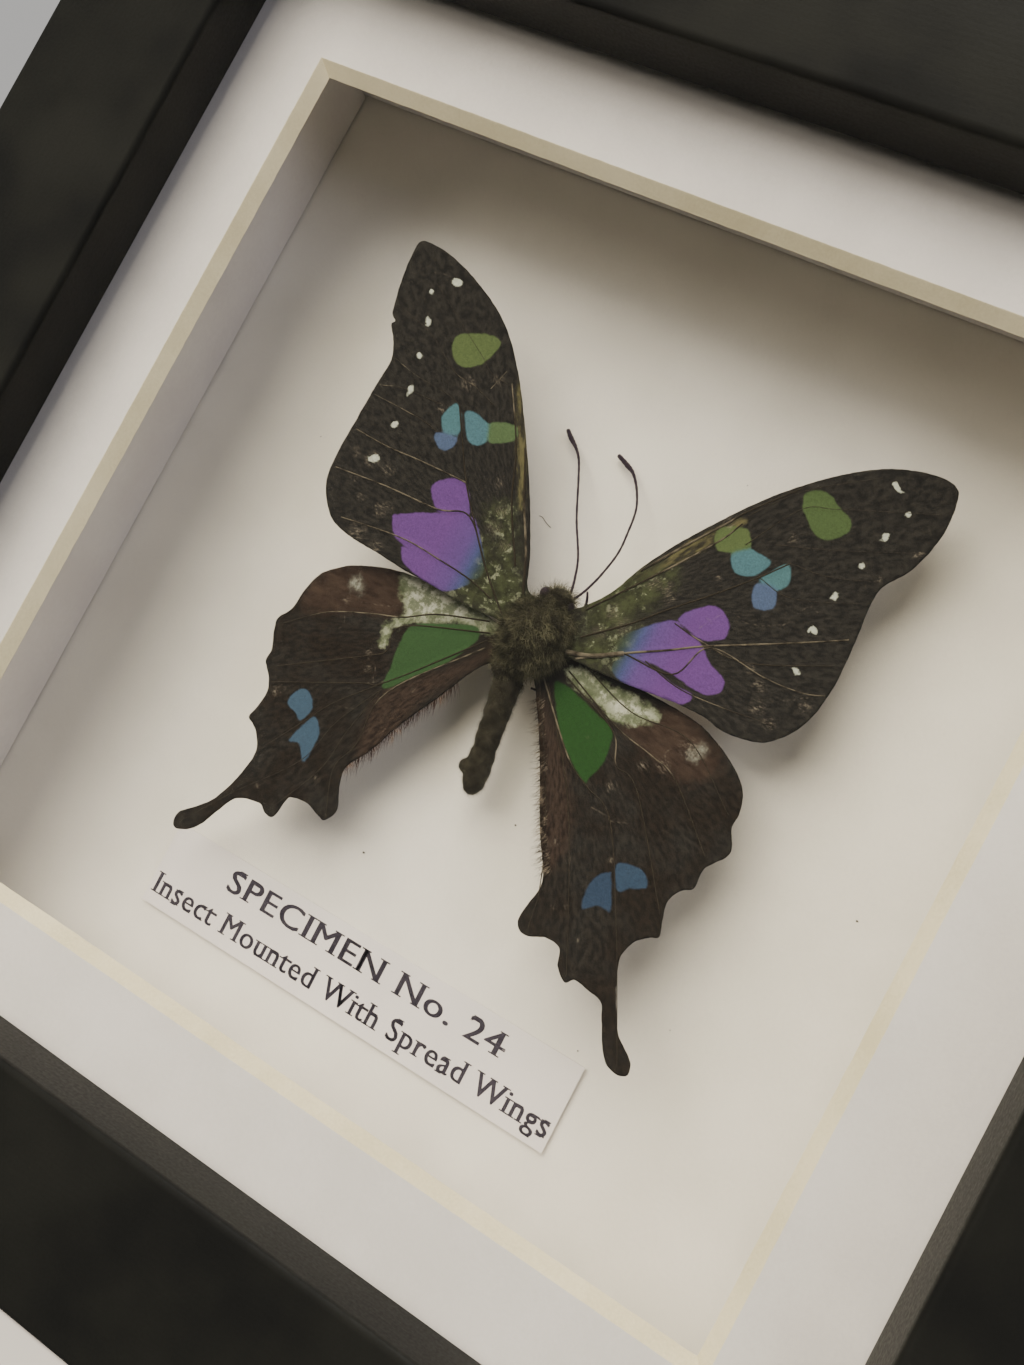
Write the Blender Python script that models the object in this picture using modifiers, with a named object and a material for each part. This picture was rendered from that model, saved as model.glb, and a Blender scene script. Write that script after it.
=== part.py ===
# Box-framed butterfly: a square black moulding, glass, a white window mat over a deep white
# well, and a spread swallowtail butterfly standing clear of the mount board above its label.
# It stands on its bottom rail. +Z is up and the glass faces -Y. Lengths are in metres.

import math

import bmesh
import bpy
from mathutils import Matrix, Vector
from mathutils.geometry import delaunay_2d_cdt

MM = 0.001
GAP = 0.3 * MM

# Frame
FRAME_SIDE = 150 * MM
FRAME_DEPTH = 36 * MM
SIGHT_HALF = 56.75 * MM
LIP_DEPTH = 6.2 * MM
REBATE_HALF = 61.7 * MM
EDGE_RADIUS = 0.8 * MM

# Layers behind the lip, all cut to the same square
SHEET_HALF = REBATE_HALF - GAP
GLASS_THICKNESS = 2 * MM
MAT_THICKNESS = 1.4 * MM
WELL_DEPTH = 20 * MM
WELL_WALL = 6 * MM
BOARD_THICKNESS = 2 * MM
BACKING_THICKNESS = 2.5 * MM

# Window of the mat, a little off the frame's centre
WINDOW_HALF = 47.7 * MM
WINDOW_BEVEL = 1.1 * MM
WINDOW_X = -0.6 * MM
WINDOW_Z = -0.5 * MM

# Back hardware
TAB_WIDTH = 5 * MM
TAB_LENGTH = 11.4 * MM
TAB_THICKNESS = 0.5 * MM
TAB_IN_RAIL = 1.7 * MM
TAB_OFFSET = 34 * MM
HANGER_WIDTH = 46 * MM
HANGER_HEIGHT = 9 * MM
HANGER_THICKNESS = 0.8 * MM
HANGER_TEETH = 9
HANGER_Z = 128 * MM
NAIL_SPACING = 38 * MM

# Label
LABEL_WIDTH = 55.4 * MM
LABEL_HEIGHT = 10.2 * MM
LABEL_THICKNESS = 0.25 * MM
LABEL_CENTRE = (-1.6 * MM, 33.6 * MM)
LABEL_TURN = math.radians(0.6)

# Depth stations along Y, from the front face to the back
FRONT = -FRAME_DEPTH / 2
BACK = FRAME_DEPTH / 2
LIP_BACK = FRONT + LIP_DEPTH
GLASS_FRONT = LIP_BACK + GAP
MAT_FRONT = GLASS_FRONT + GLASS_THICKNESS + GAP
WELL_FRONT = MAT_FRONT + MAT_THICKNESS + GAP
BOARD_FRONT = MAT_FRONT + WELL_DEPTH
WELL_BACK = BOARD_FRONT - GAP
BACKING_FRONT = BOARD_FRONT + BOARD_THICKNESS + GAP
BACKING_BACK = BACKING_FRONT + BACKING_THICKNESS
CENTRE_Z = FRAME_SIDE / 2

# Insect, in mm: x to the right, y into the well, z up
THORAX_CENTRE = (0.1, 3.3, 76.9)
THORAX_RADII = (4.1, 3.2, 5.0)
HEAD_CENTRE = (0.7, 3.9, 81.7)
HEAD_RADII = (2.1, 1.9, 1.9)
ABDOMEN_START = (-0.6, 4.6, 74.0)
ABDOMEN_END = (1.4, 6.3, 59.0)
ABDOMEN_RADII = (1.5, 1.8, 1.75, 1.8, 1.65, 1.7, 1.5, 1.65, 1.45, 1.75, 1.9, 1.6, 0.9)
WING_THICKNESS = 0.35
WING_CELL = 2.6
RISER = (2.2, 4.0)
ANTENNA_RADIUS = 0.16
CLUB_RADIUS = 0.3
LEG_RADIUS = 0.22

# Each wing's outline is drawn from its hinge, in mm, as (outwards, upwards). The wing rises
# towards the glass by lift_out and lift_up for each mm, and bows by as much as bow.
WINGS = {
    "forewing_left": {
        "side": -1,
        "hinge": (-2.3, 3.4, 80.7),
        "lift_out": 0.12,
        "lift_up": 0.04,
        "bow": 0.5,
        "reach": 29.0,
        "outline": (
            (-1.5, 0.2), (0.5, 0.9), (2.1, 4.5), (5.5, 10.9), (9.4, 17.2), (13.1, 22.4),
            (16.7, 26.0), (21.4, 28.6), (25.4, 30.0), (28.1, 30.3), (29.2, 30.1),
            (29.5, 29.1), (29.3, 25.8), (28.5, 21.7), (27.7, 20.8), (27.9, 20.2),
            (26.9, 18.8), (26.0, 16.7), (26.2, 13.6), (26.4, 9.5), (26.6, 5.3),
            (26.5, 2.6), (26.0, 0.8), (24.8, -1.0), (23.3, -2.3), (20.6, -3.0),
            (17.1, -3.2), (13.9, -3.5), (10.6, -3.6), (6.5, -3.8), (2.1, -3.6), (-1.5, -3.2),
        ),
    },
    "forewing_right": {
        "side": 1,
        "hinge": (3.4, 3.4, 80.8),
        "lift_out": 0.0,
        "lift_up": 0.0,
        "bow": 0.5,
        "reach": 29.5,
        "outline": (
            (-2.0, -0.5), (0.5, 2.2), (2.3, 4.7), (3.7, 8.0), (5.9, 11.9), (9.0, 16.3),
            (11.8, 19.9), (14.8, 23.1), (17.9, 25.8), (21.2, 28.0), (24.2, 29.2),
            (27.1, 29.7), (28.7, 29.3), (29.3, 28.1), (29.6, 25.5), (29.4, 23.2),
            (29.0, 21.5), (28.3, 19.5), (26.7, 16.9), (26.5, 14.4), (26.8, 11.4),
            (27.0, 8.0), (27.0, 5.3), (26.6, 2.3), (25.6, -0.2), (23.7, -2.4),
            (21.4, -3.2), (19.1, -3.4), (17.1, -3.0), (14.0, -3.0), (8.0, -3.6),
            (2.0, -3.8), (-2.0, -3.4),
        ),
    },
    "hindwing_left": {
        "side": -1,
        "hinge": (-2.8, 4.3, 75.7),
        "lift_out": 0.02,
        "lift_up": 0.0,
        "bow": 0.3,
        "reach": 25.0,
        "outline": (
            (-1.5, 0.8), (1.6, 1.2), (7.8, 1.8), (14.4, 1.3), (18.8, -0.1), (20.9, -1.3),
            (22.8, -3.1), (23.6, -5.5), (23.9, -8.1), (24.9, -9.8), (24.6, -11.3),
            (23.7, -13.3), (23.7, -14.8), (22.4, -16.2), (21.7, -17.8), (21.8, -19.6),
            (22.2, -21.2), (21.3, -21.8), (20.4, -22.5), (19.4, -24.3), (19.6, -26.7),
            (20.2, -29.0), (21.3, -31.5), (22.8, -33.2), (24.2, -34.6), (24.3, -35.9),
            (23.6, -36.4), (22.1, -35.7), (21.0, -34.3), (20.2, -32.5), (18.8, -30.0),
            (16.1, -29.1), (14.9, -29.7), (13.8, -29.6), (13.4, -27.4), (12.9, -26.7),
            (11.0, -26.4), (9.1, -27.0), (8.3, -27.0), (7.6, -25.4), (8.7, -22.8),
            (9.0, -20.7), (7.5, -18.0), (5.8, -13.8), (3.4, -9.0), (1.1, -4.3), (-1.5, -1.2),
        ),
    },
    "hindwing_right": {
        "side": 1,
        "hinge": (3.8, 4.8, 76.0),
        "lift_out": 0.035,
        "lift_up": -0.09,
        "bow": 0.3,
        "reach": 26.0,
        "outline": (
            (-2.5, -1.5), (-0.7, -3.9), (2.4, -8.5), (4.8, -12.6), (7.1, -16.6),
            (9.5, -20.1), (10.0, -21.8), (9.7, -23.7), (9.6, -25.5), (10.2, -26.4),
            (11.3, -26.5), (13.0, -25.7), (14.7, -25.9), (15.4, -27.5), (16.8, -28.5),
            (17.6, -27.8), (19.1, -28.0), (20.8, -28.3), (21.8, -29.9), (23.1, -32.1),
            (24.3, -33.3), (25.7, -33.5), (26.4, -32.9), (25.9, -31.7), (24.0, -30.3),
            (22.8, -28.7), (21.5, -26.3), (20.5, -23.6), (21.0, -21.6), (22.1, -20.5),
            (22.9, -19.9), (22.4, -18.2), (22.0, -16.4), (22.7, -14.9), (23.7, -14.0),
            (23.7, -11.8), (25.1, -9.7), (25.0, -8.4), (24.2, -6.9), (24.2, -5.1),
            (23.5, -3.1), (21.7, -1.4), (18.8, 0.2), (15.3, 1.2), (8.0, 1.5), (-2.0, 1.0),
        ),
    },
}

# Centre lines in mm, from the root to the tip. The antennae dip until they nearly touch the board.
ANTENNAE = {
    "antenna_left": (
        (1.4, 4.0, 83.8), (0.9, 4.4, 85.4), (0.2, 4.9, 87.1), (-0.9, 5.5, 88.9),
        (-2.6, 6.4, 91.5), (-5.1, 8.0, 96.1), (-6.4, 8.8, 98.3), (-7.5, 9.3, 99.5),
        (-8.7, 9.7, 100.4), (-9.6, 10.0, 101.2),
    ),
    "antenna_right": (
        (2.4, 4.2, 83.6), (2.8, 4.7, 84.9), (3.2, 5.4, 86.9), (3.5, 6.3, 89.9),
        (3.2, 7.1, 92.6), (2.6, 8.0, 95.5), (1.4, 8.8, 97.8), (0.0, 9.4, 99.5),
        (-1.2, 9.7, 100.2), (-2.7, 10.0, 100.9),
    ),
}
LEGS = {
    "leg_front_left": ((-1.9, 6.3, 79.0), (-3.1, 7.2, 80.2), (-2.6, 8.4, 81.4), (-1.4, 8.8, 81.6)),
    "leg_front_right": (
        (2.1, 6.3, 79.0), (3.4, 6.9, 80.6), (3.1, 6.8, 82.4), (2.9, 6.4, 83.7), (2.5, 6.3, 84.6),
    ),
    "leg_middle_left": ((-2.0, 6.6, 77.6), (-3.3, 7.6, 76.4), (-2.9, 8.5, 74.8), (-1.8, 9.3, 73.6)),
    "leg_middle_right": ((2.2, 6.6, 77.6), (3.5, 7.6, 76.4), (3.1, 8.5, 74.8), (2.0, 9.3, 73.6)),
    "leg_hind_left": ((-1.9, 6.5, 75.4), (-2.9, 7.9, 73.6), (-2.2, 9.0, 72.6), (-1.0, 9.7, 72.4)),
    "leg_hind_right": ((2.1, 6.5, 75.4), (3.1, 7.9, 73.6), (2.4, 9.0, 72.6), (1.2, 9.7, 72.4)),
}


def clear_scene():
    for obj in list(bpy.data.objects):
        bpy.data.objects.remove(obj, do_unlink=True)


def make_collection(name, hidden=False):
    collection = bpy.data.collections.new(name)
    bpy.context.scene.collection.children.link(collection)
    collection.hide_render = hidden
    return collection


def make_material(name, colour, roughness, metallic=0.0, transmission=0.0):
    material = bpy.data.materials.new(name)
    material.use_nodes = True
    shader = material.node_tree.nodes["Principled BSDF"]
    shader.inputs["Base Color"].default_value = (*colour, 1.0)
    shader.inputs["Roughness"].default_value = roughness
    shader.inputs["Metallic"].default_value = metallic
    shader.inputs["Transmission Weight"].default_value = transmission
    return material


def place(name, data, material, location=(0, 0, 0), rotation=(0, 0, 0)):
    """A visible sub-part in the object's collection."""
    obj = bpy.data.objects.new(name, data)
    obj.location = location
    obj.rotation_euler = rotation
    if not data.materials:
        data.materials.append(material)
    parts.objects.link(obj)
    return obj


def make_cutter(name, mesh):
    obj = bpy.data.objects.new(name, mesh)
    obj.hide_render = True
    obj.display_type = "WIRE"
    cutters.objects.link(obj)
    return obj


def boolean(obj, other, operation):
    modifier = obj.modifiers.new(operation.title(), "BOOLEAN")
    modifier.operation = operation
    modifier.object = other
    modifier.solver = "EXACT"


def mesh_from(bm, name):
    mesh = bpy.data.meshes.new(name)
    bm.normal_update()
    bm.to_mesh(mesh)
    bm.free()
    return mesh


def add_box(bm, low, high):
    size = [b - a for a, b in zip(low, high)]
    middle = [(a + b) / 2 for a, b in zip(low, high)]
    bmesh.ops.create_cube(
        bm, size=1.0, matrix=Matrix.Translation(middle) @ Matrix.Diagonal((*size, 1.0))
    )


def box_mesh(name, *boxes):
    bm = bmesh.new()
    for low, high in boxes:
        add_box(bm, low, high)
    return mesh_from(bm, name)


def square_sheet(name, material, half, front, thickness):
    """A square sheet about the frame's centre."""
    mesh = box_mesh(name, ((-half, front, -half), (half, front + thickness, half)))
    return place(name, mesh, material, location=(0, 0, CENTRE_Z))


def flat_outline(name, points, thickness):
    """A closed 2D curve in the XY plane, as thick as given, turned into a welded mesh."""
    curve = bpy.data.curves.new(name, "CURVE")
    curve.dimensions = "2D"
    curve.fill_mode = "BOTH"
    curve.extrude = thickness / 2
    spline = curve.splines.new("POLY")
    spline.points.add(len(points) - 1)
    for point, (x, y) in zip(spline.points, points):
        point.co = (x, y, 0, 1)
    spline.use_cyclic_u = True
    return welded_mesh(name, curve)


def welded_mesh(name, curve):
    obj = bpy.data.objects.new(name + "_curve", curve)
    cutters.objects.link(obj)
    bpy.context.view_layer.update()
    graph = bpy.context.evaluated_depsgraph_get()
    mesh = bpy.data.meshes.new_from_object(obj.evaluated_get(graph))
    bpy.data.objects.remove(obj, do_unlink=True)
    bm = bmesh.new()
    bm.from_mesh(mesh)
    bmesh.ops.remove_doubles(bm, verts=bm.verts, dist=1e-6)
    bmesh.ops.recalc_face_normals(bm, faces=bm.faces)
    bm.to_mesh(mesh)
    bm.free()
    mesh.name = name
    return mesh


def arc(centre, radius, start, end, steps=4):
    for i in range(steps + 1):
        angle = math.radians(start + (end - start) * i / steps)
        yield centre[0] + radius * math.cos(angle), centre[1] + radius * math.sin(angle)


def smooth_loop(points, steps=2):
    """A closed curve through the points, with steps pieces between each two."""
    count = len(points)
    ring = [Vector(p) for p in points]
    out = []
    for i in range(count):
        a, b, c, d = (ring[(i + k) % count] for k in (-1, 0, 1, 2))
        for k in range(steps):
            t = k / steps
            out.append(
                0.5 * (2 * b + (c - a) * t + (2 * a - 5 * b + 4 * c - d) * t**2
                       + (3 * b - a - 3 * c + d) * t**3)
            )
    return out


def smooth_line(points, steps):
    """An open curve through the points."""
    line = [Vector(p) for p in points]
    line = [2 * line[0] - line[1], *line, 2 * line[-1] - line[-2]]
    out = []
    for a, b, c, d in zip(line, line[1:], line[2:], line[3:]):
        for k in range(steps):
            t = k / steps
            out.append(
                0.5 * (2 * b + (c - a) * t + (2 * a - 5 * b + 4 * c - d) * t**2
                       + (3 * b - a - 3 * c + d) * t**3)
            )
    return [*out, line[-2]]


def rail_mesh():
    """The bottom rail about the frame's centre: an L profile cut to 45 degrees at both ends."""
    outer = FRAME_SIDE / 2
    profile = [
        *arc((SIGHT_HALF + EDGE_RADIUS, FRONT + EDGE_RADIUS), EDGE_RADIUS, 180, 270),
        *arc((outer - EDGE_RADIUS, FRONT + EDGE_RADIUS), EDGE_RADIUS, 270, 360),
        *arc((outer - EDGE_RADIUS, BACK - EDGE_RADIUS), EDGE_RADIUS, 0, 90),
        (REBATE_HALF, BACK),
        (REBATE_HALF, LIP_BACK),
        (SIGHT_HALF, LIP_BACK),
    ]
    bm = bmesh.new()
    ring = [bm.verts.new((-outer * 1.1, y, -u)) for u, y in profile]
    face = bm.faces.new(ring)
    swept = bmesh.ops.extrude_face_region(bm, geom=[face])["geom"]
    moved = [v for v in swept if isinstance(v, bmesh.types.BMVert)]
    bmesh.ops.translate(bm, verts=moved, vec=(outer * 2.2, 0, 0))
    for direction in (-1, 1):
        cut = bmesh.ops.bisect_plane(
            bm,
            geom=[*bm.verts, *bm.edges, *bm.faces],
            dist=1e-7,
            plane_co=(0, 0, -GAP * math.sqrt(0.5)),
            plane_no=(direction, 0, 1),
            clear_outer=True,
        )
        edges = [e for e in cut["geom_cut"] if isinstance(e, bmesh.types.BMEdge)]
        bmesh.ops.contextual_create(bm, geom=edges)
    bmesh.ops.recalc_face_normals(bm, faces=bm.faces)
    return mesh_from(bm, "rail")


def make_rails():
    mesh = rail_mesh()
    slot = TAB_WIDTH / 2 + GAP
    slots = make_cutter("tab_slots", box_mesh("tab_slots", *(
        (
            (x - slot, BACKING_BACK, -REBATE_HALF - TAB_IN_RAIL - GAP),
            (x + slot, BACKING_BACK + TAB_THICKNESS + 2 * GAP, -REBATE_HALF + GAP),
        )
        for x in (-TAB_OFFSET, TAB_OFFSET)
    )))
    slots.location.z = CENTRE_Z
    for quarter, name in enumerate(("bottom", "left", "top", "right")):
        turn = quarter * math.pi / 2
        rail = place(f"rail_{name}", mesh, black_lacquer, (0, 0, CENTRE_Z), (0, turn, 0))
        cutter = slots if quarter == 0 else make_cutter(f"tab_slots_{name}", slots.data)
        cutter.location.z = CENTRE_Z
        cutter.rotation_euler.y = turn
        boolean(rail, cutter, "DIFFERENCE")


def make_tabs():
    """Two flat steel tabs in the slots of each rail, which hold the backing in."""
    outer = REBATE_HALF + TAB_IN_RAIL
    front = BACKING_BACK + GAP
    mesh = box_mesh("tab", (
        (-TAB_WIDTH / 2, front, -outer),
        (TAB_WIDTH / 2, front + TAB_THICKNESS, TAB_LENGTH - outer),
    ))
    for quarter, name in enumerate(("bottom", "left", "top", "right")):
        turn = Matrix.Rotation(quarter * math.pi / 2, 4, "Y")
        for number, x in enumerate((-TAB_OFFSET, TAB_OFFSET), 1):
            tab = place(f"tab_{name}_{number}", mesh, steel)
            tab.matrix_world = Matrix.Translation((0, 0, CENTRE_Z)) @ turn @ Matrix.Translation((x, 0, 0))


def make_mat():
    """The window mat, its opening bevelled so that it narrows towards the back."""
    mat = square_sheet("mat_board", white_card, SHEET_HALF, MAT_FRONT, MAT_THICKNESS)
    over = 1 * MM
    slope = WINDOW_BEVEL / MAT_THICKNESS
    wide = WINDOW_HALF + over * slope
    narrow = WINDOW_HALF - WINDOW_BEVEL - over * slope
    bm = bmesh.new()
    bmesh.ops.create_cone(
        bm,
        cap_ends=True,
        segments=4,
        radius1=wide * math.sqrt(2),
        radius2=narrow * math.sqrt(2),
        depth=MAT_THICKNESS + 2 * over,
        matrix=Matrix.Rotation(math.radians(-90), 4, "X") @ Matrix.Rotation(math.radians(45), 4, "Z"),
    )
    window = make_cutter("mat_window", mesh_from(bm, "mat_window"))
    window.location = (WINDOW_X, MAT_FRONT + MAT_THICKNESS / 2, CENTRE_Z + WINDOW_Z)
    boolean(mat, window, "DIFFERENCE")


def make_well():
    """Four strips that hold the mat and the mount board apart."""
    inner = SHEET_HALF - WELL_WALL
    wide = box_mesh("well_wide", ((-SHEET_HALF, WELL_FRONT, inner), (SHEET_HALF, WELL_BACK, SHEET_HALF)))
    short = inner - GAP
    tall = box_mesh("well_tall", ((inner, WELL_FRONT, -short), (SHEET_HALF, WELL_BACK, short)))
    for name, mesh, turn in (
        ("top", wide, 0), ("bottom", wide, math.pi), ("right", tall, 0), ("left", tall, math.pi),
    ):
        place(f"well_wall_{name}", mesh, white_card, (0, 0, CENTRE_Z), (0, turn, 0))


def make_hanger():
    """A toothed hanger bar on the backing board, with a nail at each end."""
    tooth = (HANGER_WIDTH - 14 * MM) / HANGER_TEETH
    low, high = -HANGER_HEIGHT / 2, HANGER_HEIGHT / 2
    rise, arch = 1.2 * MM, 0.6 * MM
    start = -tooth * HANGER_TEETH / 2
    outline = [(-HANGER_WIDTH / 2, high), (-HANGER_WIDTH / 2, low), (start, low + rise)]
    for i in range(HANGER_TEETH):
        along = start + (i + 1) * tooth
        outline.append((along - tooth / 2, low))
        outline.append((along, low + rise + arch * (1 - (along / start) ** 2)))
    outline += [(HANGER_WIDTH / 2, low), (HANGER_WIDTH / 2, high)]
    front = BACKING_BACK + GAP
    middle = front + HANGER_THICKNESS / 2
    bar = place(
        "hanger",
        flat_outline("hanger", outline, HANGER_THICKNESS),
        steel,
        (0, middle, HANGER_Z),
        (math.pi / 2, 0, 0),
    )
    hole, shank, head = 0.95 * MM, 0.6 * MM, 1.6 * MM
    head_front = front + HANGER_THICKNESS + GAP
    bm = bmesh.new()
    for x in (-NAIL_SPACING / 2, NAIL_SPACING / 2):
        bmesh.ops.create_cone(
            bm, cap_ends=True, segments=16, radius1=hole, radius2=hole, depth=4 * MM,
            matrix=Matrix.Translation((x, middle, HANGER_Z + 1 * MM))
            @ Matrix.Rotation(math.pi / 2, 4, "X"),
        )
    boolean(bar, make_cutter("nail_holes", mesh_from(bm, "nail_holes")), "DIFFERENCE")
    profile = (
        (0, front), (shank, front), (shank, head_front), (head, head_front),
        (head, head_front + 0.3 * MM), (head * 0.6, head_front + 0.55 * MM), (0, head_front + 0.6 * MM),
    )
    for name, x in (("left", -NAIL_SPACING / 2), ("right", NAIL_SPACING / 2)):
        nail = turned(f"hanger_nail_{name}", profile, 16, steel)
        nail.location = (x, 0, HANGER_Z + 1 * MM)
        nail.rotation_euler.x = -math.pi / 2


def turned(name, profile, steps, material):
    """A solid turned about Z from (radius, height) points that rise from the axis to the axis."""
    mesh = bpy.data.meshes.new(name)
    points = [(radius, 0, height) for radius, height in reversed(profile)]
    mesh.from_pydata(points, [(i, i + 1) for i in range(len(points) - 1)], [])
    obj = place(name, mesh, material)
    screw = obj.modifiers.new("Screw", "SCREW")
    screw.steps = screw.render_steps = steps
    screw.use_merge_vertices = True
    screw.merge_threshold = 1e-5
    return obj


def ellipsoid(name, centre, radii, grow, segments, rings):
    bm = bmesh.new()
    scale = Matrix.Diagonal((*((r + grow) * MM for r in radii), 1.0))
    bmesh.ops.create_uvsphere(
        bm,
        u_segments=segments,
        v_segments=rings,
        radius=1.0,
        matrix=Matrix.Translation([c * MM for c in centre]) @ scale,
    )
    return mesh_from(bm, name)


def abdomen_mesh(name, grow):
    """A ringed taper from the waist to the tail end, as a stack of round sections."""
    start, end = Vector(ABDOMEN_START) * MM, Vector(ABDOMEN_END) * MM
    axis = (end - start).normalized()
    turn = axis.to_track_quat("Z", "Y").to_matrix().to_4x4()
    length = (end - start).length
    radii = [(r + grow) * MM for r in ABDOMEN_RADII]
    heights = [length * i / (len(radii) - 1) for i in range(len(radii))]
    profile = [(0, -grow * MM), *zip(radii, heights), (0, length + (0.5 + grow) * MM)]
    bm = bmesh.new()
    points = [bm.verts.new((radius, 0, height)) for radius, height in profile]
    edges = [bm.edges.new(pair) for pair in zip(points, points[1:])]
    bmesh.ops.spin(
        bm, geom=[*points, *edges], cent=(0, 0, 0), axis=(0, 0, 1), angle=2 * math.pi,
        steps=16, use_merge=True,
    )
    bmesh.ops.remove_doubles(bm, verts=bm.verts, dist=1e-6)
    bmesh.ops.recalc_face_normals(bm, faces=bm.faces)
    bmesh.ops.transform(bm, matrix=Matrix.Translation(start) @ turn, verts=bm.verts)
    return mesh_from(bm, name)


def make_body():
    body = place("butterfly_body", ellipsoid("thorax", THORAX_CENTRE, THORAX_RADII, 0, 20, 12), brown_fur)
    body.data.shade_smooth()
    head = make_cutter("head", ellipsoid("head", HEAD_CENTRE, HEAD_RADII, 0, 16, 10))
    abdomen = make_cutter("abdomen", abdomen_mesh("abdomen", 0))
    boolean(body, head, "UNION")
    boolean(body, abdomen, "UNION")
    riser_top = (THORAX_CENTRE[1] + THORAX_RADII[1]) * MM + GAP
    x, z = (THORAX_CENTRE[0] * MM, THORAX_CENTRE[2] * MM)
    wide, tall = (side * MM / 2 for side in RISER)
    mesh = box_mesh("foam_riser", ((x - wide, riser_top, z - tall), (x + wide, WELL_BACK, z + tall)))
    place("foam_riser", mesh, foam)


def inside(point, loop):
    """True if the point is inside the closed loop."""
    found = False
    for a, b in zip(loop, [*loop[1:], loop[0]]):
        if (a[1] > point[1]) != (b[1] > point[1]):
            if point[0] < a[0] + (point[1] - a[1]) * (b[0] - a[0]) / (b[1] - a[1]):
                found = not found
    return found


def make_wing(name, wing, hollow):
    """A thin bowed sheet inside the wing's outline, cut back from the body by the gap."""
    loop = smooth_loop(wing["outline"])
    outs, ups = [p.x for p in loop], [p.y for p in loop]
    margin = WING_CELL / 2
    grid = []
    up = min(ups) + margin
    while up < max(ups):
        out = min(outs) + margin
        while out < max(outs):
            spot = Vector((out, up))
            if inside(spot, loop) and min((spot - p).length for p in loop) > margin / 2:
                grid.append(spot)
            out += WING_CELL
        up += WING_CELL
    count = len(loop)
    rim = [(i, (i + 1) % count) for i in range(count)]
    points, _, faces, *_ = delaunay_2d_cdt([*loop, *grid], rim, [], 1, 1e-5)
    x0, y0, z0 = wing["hinge"]
    bm = bmesh.new()
    verts = []
    for out, up in points:
        bow = wing["bow"] * math.sin(math.pi * min(max(out / wing["reach"], 0), 1))
        rise = wing["lift_out"] * out + wing["lift_up"] * up + bow
        verts.append(bm.verts.new(((x0 + wing["side"] * out) * MM, (y0 - rise) * MM, (z0 + up) * MM)))
    for face in faces:
        bm.faces.new([verts[i] for i in face])
    for face in bm.faces:
        face.normal_update()
        if face.normal.y > 0:
            face.normal_flip()
    obj = place(name, mesh_from(bm, name), brown_wing)
    solid = obj.modifiers.new("Solidify", "SOLIDIFY")
    solid.thickness = WING_THICKNESS * MM
    solid.offset = 0
    for other in hollow:
        boolean(obj, other, "DIFFERENCE")


def make_wings():
    grow = GAP / MM
    hollow = [
        make_cutter("room_thorax", ellipsoid("room_thorax", THORAX_CENTRE, THORAX_RADII, grow, 20, 12)),
        make_cutter("room_head", ellipsoid("room_head", HEAD_CENTRE, HEAD_RADII, grow, 16, 10)),
        make_cutter("room_abdomen", abdomen_mesh("room_abdomen", grow)),
    ]
    for name, wing in WINGS.items():
        make_wing(name, wing, hollow)


def make_feeler(name, points, steps, radii):
    """A thin round feeler or leg on a smooth line, with its radius running through radii."""
    line = smooth_line(points, steps)
    curve = bpy.data.curves.new(name, "CURVE")
    curve.dimensions = "3D"
    curve.bevel_depth = MM
    curve.bevel_resolution = 1
    curve.use_fill_caps = True
    spline = curve.splines.new("POLY")
    spline.points.add(len(line) - 1)
    for i, (point, place_mm) in enumerate(zip(spline.points, line)):
        along = i / (len(line) - 1) * (len(radii) - 1)
        k = min(int(along), len(radii) - 2)
        point.co = (*(place_mm * MM), 1)
        point.radius = radii[k] + (radii[k + 1] - radii[k]) * (along - k)
    place(name, curve, dark_horn)


def make_feelers():
    thin, club = ANTENNA_RADIUS, CLUB_RADIUS
    taper = (thin, thin, thin, thin, thin, thin, thin, thin, club, club * 0.8)
    for name, points in ANTENNAE.items():
        make_feeler(name, points, 2, taper)
    for name, points in LEGS.items():
        make_feeler(name, points, 3, (LEG_RADIUS, LEG_RADIUS, LEG_RADIUS * 0.7))


def make_label():
    half_w, half_h = LABEL_WIDTH / 2, LABEL_HEIGHT / 2
    mesh = box_mesh("label_card", (
        (-half_w, WELL_BACK - LABEL_THICKNESS, -half_h), (half_w, WELL_BACK, half_h),
    ))
    x, z = LABEL_CENTRE
    place("label_card", mesh, label_paper, (x, 0, z), (0, -LABEL_TURN, 0))


clear_scene()
parts = make_collection("framed_butterfly")
cutters = make_collection("cutters", hidden=True)

black_lacquer = make_material("black_lacquer", (0.012, 0.013, 0.014), 0.42)
clear_glass = make_material("clear_glass", (1, 1, 1), 0.03, transmission=1.0)
white_card = make_material("white_card", (0.78, 0.77, 0.79), 0.85)
label_paper = make_material("label_paper", (0.74, 0.73, 0.72), 0.7)
raw_board = make_material("raw_board", (0.30, 0.19, 0.11), 0.8)
steel = make_material("steel", (0.55, 0.55, 0.54), 0.35, metallic=1.0)
foam = make_material("foam", (0.75, 0.74, 0.72), 0.95)
brown_fur = make_material("brown_fur", (0.035, 0.028, 0.018), 0.95)
brown_wing = make_material("brown_wing", (0.022, 0.015, 0.013), 0.75)
dark_horn = make_material("dark_horn", (0.02, 0.012, 0.018), 0.45)

make_rails()
square_sheet("glass_pane", clear_glass, SHEET_HALF, GLASS_FRONT, GLASS_THICKNESS)
make_mat()
make_well()
square_sheet("mount_board", white_card, SHEET_HALF, BOARD_FRONT, BOARD_THICKNESS)
square_sheet("backing_board", raw_board, SHEET_HALF, BACKING_FRONT, BACKING_THICKNESS)
make_tabs()
make_hanger()
make_label()
make_body()
make_wings()
make_feelers()
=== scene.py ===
# Looks of the box-framed butterfly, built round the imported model. Metres, +Z up, the glass faces -Y.
# Sizes in the dictionaries are millimetres unless a note says otherwise.

import math

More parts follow.
